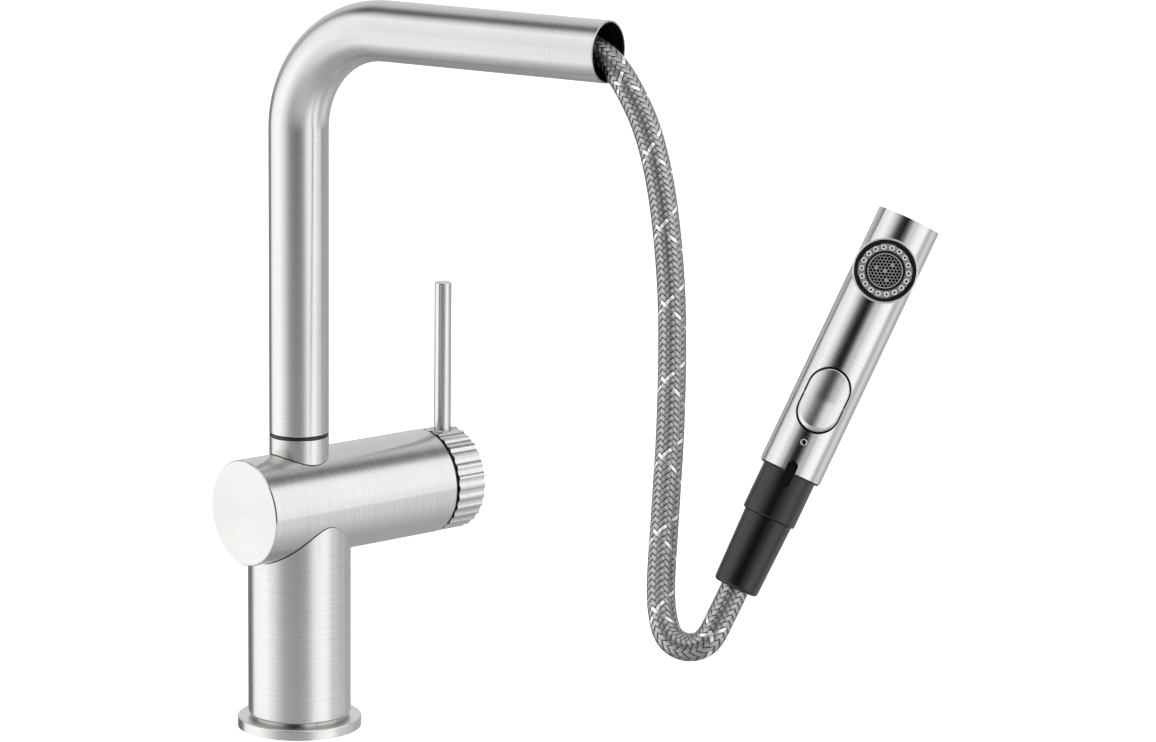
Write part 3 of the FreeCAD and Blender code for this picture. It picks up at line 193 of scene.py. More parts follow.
def blend_colours(tree, amount, first, second):
    """A colour between two colours, which are tuples or sockets."""
    first, second = ((*colour, 1) if isinstance(colour, tuple) else colour for colour in (first, second))
    mix = add_node(tree, "Mix", data_type="RGBA")
    set_inputs(tree, mix, {"Factor": amount, MIX_FIRST: first, MIX_SECOND: second})
    return mix.outputs[MIX_RESULT]


def tinted(colour, share):
    """A deeper or paler tone of a colour."""
    return tuple(min(1.0, value * share) for value in colour)


print("sums and blends ready")

# %% [markdown]
# Stainless steel that is polished in a lathe with an abrasive belt keeps fine scratches that run around
# each piece. A picture of scratches would need unwrapping, but a noise that is stretched around the turning
# axis needs only a place in the piece's own frame: slow around the axis, quick along it. On an end face the
# distance from the axis takes over from the height, so the same group draws rings there.

# %% Node group: turned lines
AROUND_PER_METRE = 9.0


def make_turned_lines():
    tree, entry, leave = new_group(
        "turned lines",
        [("Place", "Vector", None), ("Lines per metre", "Float", 2200.0)],
        [("Lines", "Float"), ("Cloud", "Float")])
    split = add_node(tree, "SeparateXYZ", {0: entry["Place"]}).outputs
    across = add_node(tree, "CombineXYZ", {"X": split["X"], "Y": split["Y"]}).outputs[0]
    radius = add_node(tree, "VectorMath", {0: across}, operation="LENGTH").outputs["Value"]
    along = math_node(tree, "SUBTRACT", split["Z"], radius)
    stretched = add_node(tree, "CombineXYZ", {
        "X": math_node(tree, "MULTIPLY", split["X"], AROUND_PER_METRE),
        "Y": math_node(tree, "MULTIPLY", split["Y"], AROUND_PER_METRE),
        "Z": math_node(tree, "MULTIPLY", along, entry["Lines per metre"])}).outputs[0]
    lines = add_node(tree, "TexNoise", {"Vector": stretched, "Scale": 1.0, "Detail": 4.0,
                                        "Roughness": 0.62})
    cloud = add_node(tree, "TexNoise", {"Vector": entry["Place"], "Scale": 38.0, "Detail": 3.0})
    set_inputs(tree, leave, {"Lines": lines.outputs["Fac"], "Cloud": cloud.outputs["Fac"]})
    return tree


TURNED_LINES = make_turned_lines()
print("group", TURNED_LINES.name)

# %% [markdown]
# Moulded plastic, rubber and ceramic are never one flat colour. A fine grain from the mould breaks the
# gloss, and a slow cloud keeps large faces from looking computed. One group gives both, at the size asked
# for.

# %% Node group: moulded grain


def make_moulded_grain():
    tree, entry, leave = new_group(
        "moulded grain",
        [("Place", "Vector", None), ("Grains per metre", "Float", 2600.0)],
        [("Grain", "Float"), ("Cloud", "Float")])
    grain = add_node(tree, "TexNoise", {"Vector": entry["Place"], "Scale": entry["Grains per metre"],
                                        "Detail": 2.0})
    cloud = add_node(tree, "TexNoise", {"Vector": entry["Place"], "Scale": 60.0, "Detail": 3.0})
    set_inputs(tree, leave, {"Grain": grain.outputs["Fac"], "Cloud": cloud.outputs["Fac"]})
    return tree


MOULDED_GRAIN = make_moulded_grain()
print("group", MOULDED_GRAIN.name)

# %% [markdown]
# The steel itself is a metal shader whose roughness and colour follow the turned lines, with a faint bump
# so that the lines catch the light. A Mapping node turns the pattern onto a slanted piece: it undoes the
# piece's place, so that the lines run around the barrel and the hand spray as they do around the column.
# Scratches also draw a reflection out across themselves, which is the shader's Anisotropic value: it needs
# to know the direction across the lines, and two cross products find it from the axis and the normal.

# %% Brushed steel
PALE_TINT = (1.14, 1.13, 1.11)
DEEP_TINT = (0.82, 0.806, 0.788)
LINE_SHARE = 0.8


def own_place(tree, place):
    """Object coordinates seen from a piece's own place."""
    back = place.inverted()
    coordinates = add_node(tree, "TexCoord").outputs["Object"]
    return add_node(tree, "Mapping", {"Vector": coordinates, "Location": back.translation,
                                      "Rotation": back.to_euler()}).outputs[0]


def across_lines(tree, place):
    """The direction on the surface that is square to lines turned about a place's Z axis."""
    coordinates = add_node(tree, "TexCoord").outputs
    arm = vector_node(tree, "SUBTRACT", coordinates["Object"], place.translation)
    line = vector_node(tree, "CROSS_PRODUCT", place.col[2].xyz, arm)
    return vector_node(tree, "CROSS_PRODUCT", coordinates["Normal"], line)


def brushed_steel(name, place=None, roughness=(0.15, 0.27), lines=1500.0, grey=0.65):
    """Steel with turned lines; without a place the lines follow the piece's own attributes."""
    material, tree, shader = new_material(name)
    if place is None:
        where = add_node(tree, "Attribute", attribute_name="turned").outputs["Vector"]
        across = add_node(tree, "Attribute", attribute_name="lengthwise").outputs["Vector"]
    else:
        where = own_place(tree, place)
        across = across_lines(tree, place)
    tangent = add_node(tree, "VectorTransform", {0: across}, vector_type="VECTOR", convert_from="OBJECT",
                       convert_to="WORLD").outputs[0]
    pattern = use_group(tree, TURNED_LINES, {"Place": where, "Lines per metre": lines})
    cloud = spread(tree, pattern["Cloud"], 0.0, 1 - LINE_SHARE)
    tone = math_node(tree, "MULTIPLY_ADD", pattern["Lines"], LINE_SHARE, cloud)
    bump = add_node(tree, "Bump", {"Height": pattern["Lines"], "Strength": 0.22, "Distance": 0.06 * MM})
    set_inputs(tree, shader, {
        "Base Color": blend_colours(tree, tone, tinted(DEEP_TINT, grey), tinted(PALE_TINT, grey)),
        "Roughness": spread(tree, pattern["Lines"], *roughness),
        "Normal": bump.outputs["Normal"],
        "Tangent": tangent,
        "Anisotropic": 0.92,
        "Metallic": 1.0})
    return material


STEEL_UPRIGHT = brushed_steel("steel_upright", UPRIGHT)
STEEL_BARREL = brushed_steel("steel_barrel", BARREL)
STEEL_HANDSET = brushed_steel("steel_handset", HANDSET, roughness=(0.1, 0.19), lines=2000.0)
STEEL_ROCKER = brushed_steel("steel_rocker", HANDSET, roughness=(0.19, 0.28), lines=2000.0)
# The rim's paler grey is a painted highlight on the boss's rounded edge.
STEEL_RIM_PAINTED_HIGHLIGHT = brushed_steel("steel_rim_painted_highlight", HANDSET, roughness=(0.28, 0.38), grey=0.86)
STEEL_SPOUT = brushed_steel("steel_spout")
print("six brushed steels, turned about four axes")

# %% [markdown]
# The other finishes come from two short recipes. A moulded finish takes a colour, a roughness and a grain;
# a machined finish is a metal with turned lines, as brass and copper fittings leave the lathe.

# %% Moulded and machined finishes
MOULD_DEEP = 0.86
MOULD_PALE = 1.12
SMOOTHER, ROUGHER = 0.06, 0.08
METAL_DEEP = 0.82


def moulded(name, colour, roughness, grain=2600.0, bump=0.12, gloss=0.5):
    """Plastic, rubber or ceramic with mould grain."""
    material, tree, shader = new_material(name)
    where = add_node(tree, "TexCoord").outputs["Object"]
    pattern = use_group(tree, MOULDED_GRAIN, {"Place": where, "Grains per metre": grain})
    relief = add_node(tree, "Bump", {"Height": pattern["Grain"], "Strength": bump, "Distance": 0.08 * MM})
    set_inputs(tree, shader, {
        "Base Color": blend_colours(tree, pattern["Cloud"], tinted(colour, MOULD_DEEP),
                                    tinted(colour, MOULD_PALE)),
        "Roughness": spread(tree, pattern["Grain"], roughness - SMOOTHER, roughness + ROUGHER),
        "Normal": relief.outputs["Normal"],
        "Specular IOR Level": gloss})
    return material


def machined(name, colour, roughness=(0.2, 0.38)):
    """A turned metal fitting."""
    material, tree, shader = new_material(name)
    where = own_place(tree, UPRIGHT)
    pattern = use_group(tree, TURNED_LINES, {"Place": where, "Lines per metre": 1800.0})
    set_inputs(tree, shader, {
        "Base Color": blend_colours(tree, pattern["Lines"], tinted(colour, METAL_DEEP), colour),
        "Roughness": spread(tree, pattern["Lines"], *roughness),
        "Metallic": 1.0})
    return material


BLACK_PLASTIC = moulded("black_plastic_satin", (0.003, 0.003, 0.0032), 0.27, gloss=0.58)
# A deep, dull black. It is the real black of the aerator's parts, and painted shade inside the spout, in
# the seams at the barrel, on the nozzle holes' floors and in the screw's socket.
DEEP_BLACK_AND_PAINTED_SHADE = moulded("black_plastic_and_painted_shade", (0.004, 0.004, 0.004), 0.6, gloss=0.25)
RUBBER = moulded("rubber_black", (0.02, 0.02, 0.02), 0.62, grain=1500.0)
GREY_PLASTIC = moulded("grey_plastic_inner", (0.34, 0.345, 0.35), 0.42)
SCREEN_PLASTIC = moulded("screen_plastic", (0.36, 0.365, 0.37), 0.35)
BEZEL_PLASTIC = moulded("bezel_plastic", (0.5, 0.505, 0.51), 0.35)
CARTRIDGE_PLASTIC = moulded("cartridge_plastic_cream", (0.8, 0.78, 0.72), 0.4)
PALE_PLASTIC = moulded("pale_plastic_bush", (0.8, 0.8, 0.78), 0.42)
CERAMIC = moulded("ceramic_disc_white", (0.86, 0.85, 0.8), 0.16, grain=4000.0, bump=0.03)
SILICONE = moulded("grey_silicone_ring", (0.3, 0.3, 0.3), 0.5, grain=1800.0)
NOZZLE_SILICONE = moulded("pale_silicone_nozzle", (0.78, 0.78, 0.77), 0.5, grain=1800.0)
BRASS = machined("machined_brass", (0.72, 0.54, 0.27))
COPPER = machined("drawn_copper", (0.78, 0.43, 0.29))
SMALL_STEEL = machined("small_steel_zinc", (0.56, 0.56, 0.57), (0.16, 0.3))
# The screw's steel is painted paler than the small steel, as a painted highlight on its rounded edge.
SCREW_STEEL_PAINTED_HIGHLIGHT = machined("screw_steel_painted_highlight", (0.86, 0.86, 0.86), (0.2, 0.34))
print("moulded and machined finishes ready")

# %% [markdown]
# The hose is a fixed length of braided tube. It leaves the spout's mouth, hangs down in a slack curve,
# folds at the bottom and comes up into the hand spray. Its line is a NURBS curve that listed control
# points pull into shape. They are written in the spout's plane, in millimetres: distance along the arm,
# distance aside, height. Blender works out the smooth line.

# %% The hose's line
HOSE_ROUTE = [
    (126.0, 0.0, 340.0), (143.0, 0.0, 340.0), (160.5, 0.0, 335.5), (174.0, 1.4, 326.2),
    (192.7, 0.7, 294.8), (207.0, -7.3, 240.0), (217.7, -23.8, 184.5), (226.4, -43.2, 137.0),
    (231.5, -54.3, 112.8), (235.2, -58.8, 102.2), (239.4, -61.3, 93.6), (245.3, -61.0, 89.6),
    (252.2, -59.1, 89.3), (258.0, -56.9, 93.0), (261.1, -53.3, 102.3), (264.7, -48.9, 113.7),
    (267.9, -44.2, 124.8),
]
LINE_RESOLUTION = 24


def hose_line(route):
    """Points along the smooth line of a route, read from its NURBS curve."""
    curve = bpy.data.curves.new("hose_line", "CURVE")
    curve.dimensions = "3D"
    spline = curve.splines.new("NURBS")
    spline.points.add(len(route) - 1)
    for point, place in zip(spline.points, route):
        point.co = (*(SPOUT @ (Vector(place) * MM)), 1)
    spline.order_u = 3
    spline.use_endpoint_u = True
    spline.resolution_u = LINE_RESOLUTION
    holder = bpy.data.objects.new("hose_line", curve)
    mesh = bpy.data.meshes.new_from_object(holder)
    points = [vertex.co.copy() for vertex in mesh.vertices]
    bpy.data.objects.remove(holder)
    bpy.data.meshes.remove(mesh)
    bpy.data.curves.remove(curve)
    return points


hose_points = hose_line(HOSE_ROUTE)
hose_reach = [0.0]
for before, after in zip(hose_points, hose_points[1:]):
    hose_reach.append(hose_reach[-1] + (after - before).length)
HOSE_LENGTH = hose_reach[-1]
print("hose", len(hose_points), "points,", round(HOSE_LENGTH / MM, 1), "mm")

# %% [markdown]
# To wind strands around a curved line, each point of the line needs two directions square to it that don't
# twist. Carrying the first pair along the line, turning it only as much as the line turns, gives just that.
# Before its start the line goes straight on backwards, into the arm.

# %% Directions carried along the hose


def carry_directions(points):
    """The direction of the line at each point and a side direction that never twists about it."""
    ways = [(points[min(i + 1, len(points) - 1)] - points[max(i - 1, 0)]).normalized()
            for i in range(len(points))]
    side = UP.cross(ways[0]).normalized()
    sides = []
    for before, way in zip([ways[0]] + ways, ways):
        side = before.rotation_difference(way) @ side
        side = (side - way * side.dot(way)).normalized()
        sides.append(side)
    return ways, sides


hose_ways, hose_sides = carry_directions(hose_points)


def hose_place(reach, angle, radius):
    """The point at a distance along the hose, at an angle around it and a radius from its line."""
    straight = min(reach, 0.0)
    reach = min(max(reach, 0.0), HOSE_LENGTH)
    low = min(bisect.bisect_right(hose_reach, reach) - 1, len(hose_reach) - 2)
    high = low + 1
    share = (reach - hose_reach[low]) / (hose_reach[high] - hose_reach[low])
    centre = hose_points[low].lerp(hose_points[high], share) + straight * hose_ways[0]
    way = hose_ways[low].lerp(hose_ways[high], share).normalized()
    side = hose_sides[low].lerp(hose_sides[high], share)
    side = (side - way * side.dot(way)).normalized()
    return centre + radius * (math.cos(angle) * side + math.sin(angle) * way.cross(side))


print("directions at", len(hose_sides), "points")

# %% [markdown]
# A bmesh is a mesh on the workbench. When its shape is done, doubled vertices are merged, its faces are
# turned outwards, and it becomes an object with smooth faces and its finishes in order. These two helpers
# do that.

# %% Helpers for meshes
WELD = MM / 1000


def close_up(bm):
    """Merges doubled vertices and turns every face outwards."""
    bmesh.ops.remove_doubles(bm, verts=bm.verts, dist=WELD)
    bmesh.ops.recalc_face_normals(bm, faces=bm.faces)


def mesh_piece(name, bm, finishes):
    """An object in the scene with the shape of a bmesh, smooth all over."""
    mesh = bpy.data.meshes.new(name)
    bm.to_mesh(mesh)
    bm.free()
    mesh.polygons.foreach_set("use_smooth", [True] * len(mesh.polygons))
    for finish in finishes:
        mesh.materials.append(finish)
    piece = bpy.data.objects.new(name, mesh)
    scene.collection.objects.link(piece)
    print(name, len(mesh.polygons), "faces")
    return piece


print("mesh helpers ready")

# %% [markdown]
# The cover of the hose is a braid: 12 flat strands wind to the right and 12 to the left, and each passes
# over two and under two. Two over, two under puts the overs of one direction in a column along the hose,
# with the other direction's overs in the next column, which is the herringbone that shows in the
# photograph. Whether a strand is over or under depends only on its angle around the hose. Each strand is a
# grid: its long side runs along the hose, and its short side is rolled into a flat closed section.

# %% Strands of the braid
HOSE_RADIUS = 6.2 * MM
STRANDS = 12
BRAID_LEAD = 34.0 * MM
BRAID_TURN = math.radians(24.5)
STRAND_WIDTH = 1.85 * MM
STRAND_THICKNESS = 0.4 * MM
STRAND_RISE = 0.22 * MM
STRAND_STEP = 0.6 * MM
STRAND_TILT = math.atan2(2 * math.pi * HOSE_RADIUS, BRAID_LEAD)
CROSSING_STEEPNESS = 2.6
TRACER_START = {1: math.radians(-81.4), -1: math.radians(25.3)}
TRACER_WIDTH = 0.9
SECTION = [(-0.5, 0.0), (-0.42, 0.5), (0.42, 0.5), (0.5, 0.0), (0.0, -0.5), (-0.5, 0.0)]
PLAIN, TRACER, CORE = 0, 1, 2


def over_under(angle, hand):
    """1 where a strand lies over the other direction's strands, -1 where it lies under them."""
    wave = CROSSING_STEEPNESS * math.cos(STRANDS * angle / 2 - math.pi / 4)
    return hand * max(-1.0, min(1.0, wave))


def faces_of(grid):
    """The faces of a grid."""
    return {face for vertex in grid["verts"] for face in vertex.link_faces}


def add_strand(bm, span, start, hand, kind, layers):
    """One strand of the braid over a span of the hose, wound right (hand 1) or left (hand -1)."""
    uv_layer, rise_layer = layers
    first, last = span
    steps = round((last - first) / STRAND_STEP)
    grid = bmesh.ops.create_grid(bm, x_segments=steps, y_segments=len(SECTION) - 1, size=0.5)
    width = STRAND_WIDTH * (TRACER_WIDTH if kind == TRACER else 1.0)
    places = {}
    for vertex in grid["verts"]:
        reach = first + (vertex.co.x + 0.5) * (last - first)
        column = round((vertex.co.y + 0.5) * (len(SECTION) - 1))
        across, lift = SECTION[column]
        angle = start + hand * 2 * math.pi * reach / BRAID_LEAD
        height = over_under(angle, hand)
        radius = HOSE_RADIUS - STRAND_THICKNESS / 2 - STRAND_RISE * (1 - height)
        shift = across * width
        vertex.co = hose_place(min(max(reach - hand * shift * math.sin(STRAND_TILT), first), last),
                               angle + BRAID_TURN + shift * math.cos(STRAND_TILT) / HOSE_RADIUS,
                               radius + lift * STRAND_THICKNESS)
        vertex[rise_layer] = 0.5 + 0.5 * height
        places[vertex] = (across + 0.5, reach)
    for face in faces_of(grid):
        face.material_index = kind
        for loop in face.loops:
            loop[uv_layer].uv = places[loop.vert]


print("strands lie at", round(math.degrees(STRAND_TILT), 1), "degrees to the hose")

# %% [markdown]
# A dark tube fills the inside of the braid, so that no light shows between the strands. The braid covers
# any span of the hose: the straight stretch in the arm slides out when the hose is pulled, so it gets the
# same strands, run backwards from the start of the line.

# %% Braid over a span
CORE_RADIUS = 5.42 * MM
CORE_SIDES = 24
CORE_STEP = 2 * STRAND_STEP


def make_braid(first, last):
    """The braid over a span of the hose, with the dark tube that it is wound on."""
    bm = bmesh.new()
    layers = (bm.loops.layers.uv.new("strand"), bm.verts.layers.float.new("rise"))
    for hand in (1, -1):
        for number in range(STRANDS):
            start = TRACER_START[hand] + number * 2 * math.pi / STRANDS
            add_strand(bm, (first, last), start, hand, PLAIN if number else TRACER, layers)
    core_steps = round((last - first) / CORE_STEP)
    core = bmesh.ops.create_grid(bm, x_segments=core_steps, y_segments=CORE_SIDES, size=0.5)
    for vertex in core["verts"]:
        reach = first + (vertex.co.x + 0.5) * (last - first)
        vertex.co = hose_place(reach, 2 * math.pi * vertex.co.y, CORE_RADIUS)
    for face in faces_of(core):
        face.material_index = CORE
    close_up(bm)
    return bm


print("a braid of", 2 * STRANDS, "strands")

# %% [markdown]
# A strand is a ribbon of thin filaments. Fine lines along the ribbon, and painted shade where it dives
# under its neighbours, give the braid its depth. One strand in each direction is white, as a tracer thread.

# %% Finish of the braid
FILAMENTS = 5
# How dark the painted shade makes a strand where it dives, and where it lies on top.
DIVE_PAINTED_SHADE = (0.25, 1.0)
FILAMENT_TONE = (0.7, 0.95)
WANDER_TONE = (-0.12, 0.16)
STRAND_ROUGHNESS_SPREAD = 0.08


def strand_finish(name, dark, pale, roughness, metal):
    """A ribbon of filaments, with painted shade where it dives."""
    material, tree, shader = new_material(name)
    uv_place = add_node(tree, "UVMap", uv_map="strand").outputs["UV"]
    split = add_node(tree, "SeparateXYZ", {0: uv_place}).outputs
    filaments = math_node(tree, "SINE", math_node(tree, "MULTIPLY", split["X"], 2 * math.pi * FILAMENTS))
    filaments = add_node(tree, "MapRange", {"Value": filaments, "From Min": -1.0}).outputs["Result"]
    wander = add_node(tree, "TexNoise", {"Vector": add_node(tree, "TexCoord").outputs["Object"],
                                         "Scale": 420.0, "Detail": 2.0}).outputs["Fac"]
    rise = add_node(tree, "Attribute", attribute_name="rise").outputs["Fac"]
    # Painted shade: the colour darkens where the strand dives under the others.
    depth = spread(tree, rise, *DIVE_PAINTED_SHADE)
    tone = math_node(tree, "MULTIPLY", depth, spread(tree, filaments, *FILAMENT_TONE))
    tone = math_node(tree, "ADD", tone, spread(tree, wander, *WANDER_TONE))
    relief = add_node(tree, "Bump", {"Height": filaments, "Strength": 0.35, "Distance": 0.06 * MM})
    set_inputs(tree, shader, {
        "Base Color": blend_colours(tree, tone, dark, pale),
        "Roughness": spread(tree, wander, roughness - STRAND_ROUGHNESS_SPREAD,
                            roughness + STRAND_ROUGHNESS_SPREAD),
        "Normal": relief.outputs["Normal"],
        "Metallic": metal})
    return material


BRAID_GREY = strand_finish("braid_grey_strand", (0.04, 0.04, 0.04), (0.5, 0.5, 0.49), 0.34, 1.0)
BRAID_WHITE = strand_finish("braid_white_strand", (0.8, 0.79, 0.77), (1.0, 0.99, 0.98), 0.35, 0.75)
HOSE_CORE = moulded("hose_core_dark", (0.03, 0.03, 0.03), 0.6)
HOSE_PLAIN = moulded("hose_braid_hidden", (0.3, 0.3, 0.3), 0.45, grain=700.0, bump=0.5)
print("braid finishes ready")

# %% [markdown]
# The braid replaces the plain hose in two pieces, the free stretch and the one in the arm, which ride on
# the same body and so never part. Smooth shading would bend a wide face towards the narrow ones beside it,
# and its reflection with it. The Weighted Normal modifier lets large faces keep their own direction, so
# that strands look flat and crisp.

# %% Braided hose
ARM_STRETCH = 72.0 * MM


def steady(piece):
    """Lets the large faces of a piece keep their own shading beside narrow ones."""
    piece.modifiers.new("large faces first", "WEIGHTED_NORMAL").keep_sharp = True


def braided_piece(name, first, last, node):
    """A stretch of the hose, in place of the plain one."""
    piece = mesh_piece(name, make_braid(first, last), (BRAID_GREY, BRAID_WHITE, HOSE_CORE))
    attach(piece, "hose")
    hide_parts(node)
    steady(piece)
    return piece


hose = braided_piece("braided_hose", 0.0, HOSE_LENGTH, "hose_free")
braided_piece("braided_hose_in_arm", -ARM_STRETCH, 0.0, "hose_arm")
print("hose finished")

# %% [markdown]
# Round pieces are made as on a lathe: an outline in millimetres, radius and height, is spun around the
# axis. A part whose shape is right is copied from the frame instead. Real edges are never quite sharp, so
# edges that bend by more than 30 degrees can be rounded with a small bevel.

# %% Helpers for shapes
LATHE_STEPS = 96
SHARP_EDGE = math.radians(30)
FLAT_ENOUGH = math.radians(0.6)


def lathe(outline, steps=LATHE_STEPS):
    """Spins an outline of (radius, height) points, in millimetres, around the Z axis."""
    bm = bmesh.new()
    corners = [bm.verts.new((radius * MM, 0, height * MM)) for radius, height in outline]
    lines = [bm.edges.new(pair) for pair in zip(corners, corners[1:])]
    if outline[0][0] or outline[-1][0]:
        lines.append(bm.edges.new((corners[-1], corners[0])))
    bmesh.ops.spin(bm, geom=corners + lines, cent=(0, 0, 0), axis=(0, 0, 1), angle=2 * math.pi, steps=steps,
                   use_merge=True)
    close_up(bm)
    return bm


def soften(bm, width, segments, where=None):
    """Rounds the sharp edges, or those of them whose middle passes a test, by a width in millimetres."""
    edges = [edge for edge in bm.edges
             if len(edge.link_faces) == 2 and edge.calc_face_angle() > SHARP_EDGE
             and (where is None or where((edge.verts[0].co + edge.verts[1].co) / 2))]
    bmesh.ops.bevel(bm, geom=edges, offset=width * MM, offset_type="OFFSET", affect="EDGES",
                    segments=segments, profile=0.5, material=-1, clamp_overlap=True)


def copy_of(node):
    """A part's mesh, with its loose triangles joined and its flat faces made whole."""
    bm = bmesh.new()
    bm.from_mesh(NODES[node].data)
    bmesh.ops.remove_doubles(bm, verts=bm.verts, dist=WELD)
    bmesh.ops.dissolve_limit(bm, angle_limit=FLAT_ENOUGH, verts=bm.verts, edges=bm.edges)
    return bm


print("shape helpers ready")

# %% [markdown]
# A finished piece needs the same few steps each time: its place, its finish, hard creases where two faces
# meet at a corner, the body that it moves with, and the part that it stands for.

# %% Helper for finished pieces
CREASE = math.radians(35)
STEEL_SLOT = "brushed_steel"
BLACK_SLOT = "black_plastic"


def finish_piece(name, bm, finish, body, nodes=(), place=UPRIGHT):
    """Makes the object, gives it its finish or finishes and ties it to its body."""
    bm.transform(place)
    piece = mesh_piece(name, bm, finish if isinstance(finish, tuple) else (finish,))
    piece.data.set_sharp_from_angle(angle=CREASE)
    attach(piece, body)
    if nodes:
        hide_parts(*nodes)
    return piece


print("pieces crease at", round(math.degrees(CREASE)), "degrees")

# %% [markdown]
# The brushed lines run around the spout's tube all the way, also through the bend. On a straight tube the
# turned lines are easy to place, so each vertex of the bent tube stores where it would be on a straight
# one, and which way the tube runs beside it.

# %% The spout as a straight tube
TUBE_RADIUS = 14.0 * MM
TUBE_WALL = 1.0 * MM
BEND_RADIUS = 49.0 * MM
ARM_HEIGHT = 334.5 * MM
REACH = 168.0 * MM
BEND_START = ARM_HEIGHT - BEND_RADIUS
BEND_END = BEND_START + BEND_RADIUS * math.pi / 2


def unbent(point):
    """Where a point of the bent tube would be on a straight one."""
    if point.z < BEND_START:
        return point.copy()
    if point.x > BEND_RADIUS:
        return Vector((ARM_HEIGHT - point.z, point.y, BEND_END + point.x - BEND_RADIUS))
    inward = BEND_RADIUS - point.x
    rise = point.z - BEND_START
    return Vector((BEND_RADIUS - math.hypot(inward, rise), point.y,
                   BEND_START + BEND_RADIUS * math.atan2(rise, inward)))


def tube_way(point):
    """The direction of the bent tube's line beside a point."""
    if point.z < BEND_START:
        return Vector((0, 0, 1))
    if point.x > BEND_RADIUS:
        return Vector((1, 0, 0))
    return Vector((point.z - BEND_START, 0, BEND_RADIUS - point.x)).normalized()


print("the straight tube would end at", round((BEND_END + REACH - BEND_RADIUS) / MM, 1), "mm")

# %% [markdown]
# The spout is one tube: straight up, through a quarter bend, and along the arm to an open mouth. A ring of
# edges is pushed along that path: extruded up, spun through the bend, extruded again. Solidify gives the
# sheet its wall, and a bevel rounds its foot and the lips of its mouth. The inside of the tube is painted
# black, as painted shade.

# %% Spout tube
TUBE_SIDES = 96
BEND_STEPS = 40
TUBE_FOOT_EDGE = (0.35, 3)
TUBE_LIP_EDGE = (0.22, 3)
INNER_FACES = TUBE_RADIUS - 0.8 * TUBE_WALL
tube_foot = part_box("spout_tube")[0].z


def push(bm, edges, way):
    """Extrudes a ring of edges and returns the new ring."""
    new = bmesh.ops.extrude_edge_only(bm, edges=edges)["geom"]
    bmesh.ops.translate(bm, vec=way, verts=[item for item in new if isinstance(item, bmesh.types.BMVert)])
    return [item for item in new if isinstance(item, bmesh.types.BMEdge) and item.is_boundary]


def make_spout_tube():
    bm = bmesh.new()
    bmesh.ops.create_circle(bm, cap_ends=False, radius=TUBE_RADIUS, segments=TUBE_SIDES)
    bmesh.ops.translate(bm, vec=(0, 0, tube_foot), verts=bm.verts)
    ring = push(bm, bm.edges[:], (0, 0, BEND_START - tube_foot))
    corners = list({vertex for edge in ring for vertex in edge.verts})
    turned = bmesh.ops.spin(bm, geom=corners + ring, cent=(BEND_RADIUS, 0, BEND_START), axis=(0, 1, 0),
                            angle=math.pi / 2, steps=BEND_STEPS)["geom_last"]
    ring = [item for item in turned if isinstance(item, bmesh.types.BMEdge)]
    push(bm, ring, (REACH - BEND_RADIUS, 0, 0))
    close_up(bm)
    bmesh.ops.solidify(bm, geom=bm.faces[:], thickness=TUBE_WALL)
    soften(bm, *TUBE_FOOT_EDGE, where=lambda p: p.z < tube_foot + MM / 2)
    soften(bm, *TUBE_LIP_EDGE, where=lambda p: p.z > BEND_START)
    turned_layer = bm.verts.layers.float_vector.new("turned")
    way_layer = bm.verts.layers.float_vector.new("lengthwise")
    for vertex in bm.verts:
        vertex[turned_layer] = unbent(vertex.co)
        vertex[way_layer] = SPOUT.to_3x3() @ tube_way(vertex.co)
    # Faces of the inner wall get the second finish: black, as painted shade inside the tube.
    for face in bm.faces:
        straight = unbent(face.calc_center_median())
        face.material_index = 1 if math.hypot(straight.x, straight.y) < INNER_FACES else 0
    return bm


spout_tube = finish_piece("spout_tube_bent", make_spout_tube(), (STEEL_SPOUT, DEEP_BLACK_AND_PAINTED_SHADE), "spout",
                          ["spout_tube"], SPOUT)
steady(spout_tube)

# %% [markdown]
# Several parts already have the right shape but sharp edges. A copy of each gets its corners rounded a
# little, because a rounded corner is what draws the thin bright line along the edge of real metal. Where
# the column and the neck meet the barrel, a hair's breadth of gap draws the line of the joint, and the
# part's faces in that gap are painted black, as painted shade. A round is a width in millimetres and a
# number of steps, and it goes with a test of where it is.

# %% Helpers for rounded copies
HANDSET_BACK = HANDSET.inverted()
barrel_low, barrel_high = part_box("mixer_barrel")
BARREL_RADIUS = (barrel_high.z - barrel_low.z) / 2
ON_BARREL = 0.05 * MM
SEAM = 0.3 * MM


def in_spray(point):
    """A point's place on the hand spray, in millimetres."""
    return (HANDSET_BACK @ point) / MM


def open_seam(bm, side):
    """Draws a part back from the barrel by a hair, above it (side 1) or below it (side -1), and paints its
    faces in the gap black as painted shade.
    """
    saddle = {vertex for vertex in bm.verts
              if abs(math.hypot(vertex.co.y, vertex.co.z - barrel_height) - BARREL_RADIUS) < ON_BARREL}
    # The faces that end the part in the gap get the second finish: black, as painted shade.
    for face in bm.faces:
        face.material_index = 1 if saddle.issuperset(face.verts) else 0
    for vertex in saddle:
        vertex.co.z = barrel_height + side * math.sqrt((BARREL_RADIUS + SEAM) ** 2 - vertex.co.y ** 2)


def rounded_copy(node, body, finish, slot, *rounds, seam=0, rim=None):
    """A copy of a part with rounded edges, an open seam at the barrel painted black as painted shade, and a
    rim with a paler finish as a painted highlight.
    """
    piece = copy_of(node)
    if seam:
        open_seam(piece, seam)
    for edge, where in rounds:
        soften(piece, *edge, where)
    for face in piece.faces:
        if rim and rim(face.calc_center_median()):
            face.material_index = 1
    steady(finish_piece(node + "_rounded", piece, finish, body, [node]))


print("barrel radius", round(BARREL_RADIUS / MM, 2), "mm")
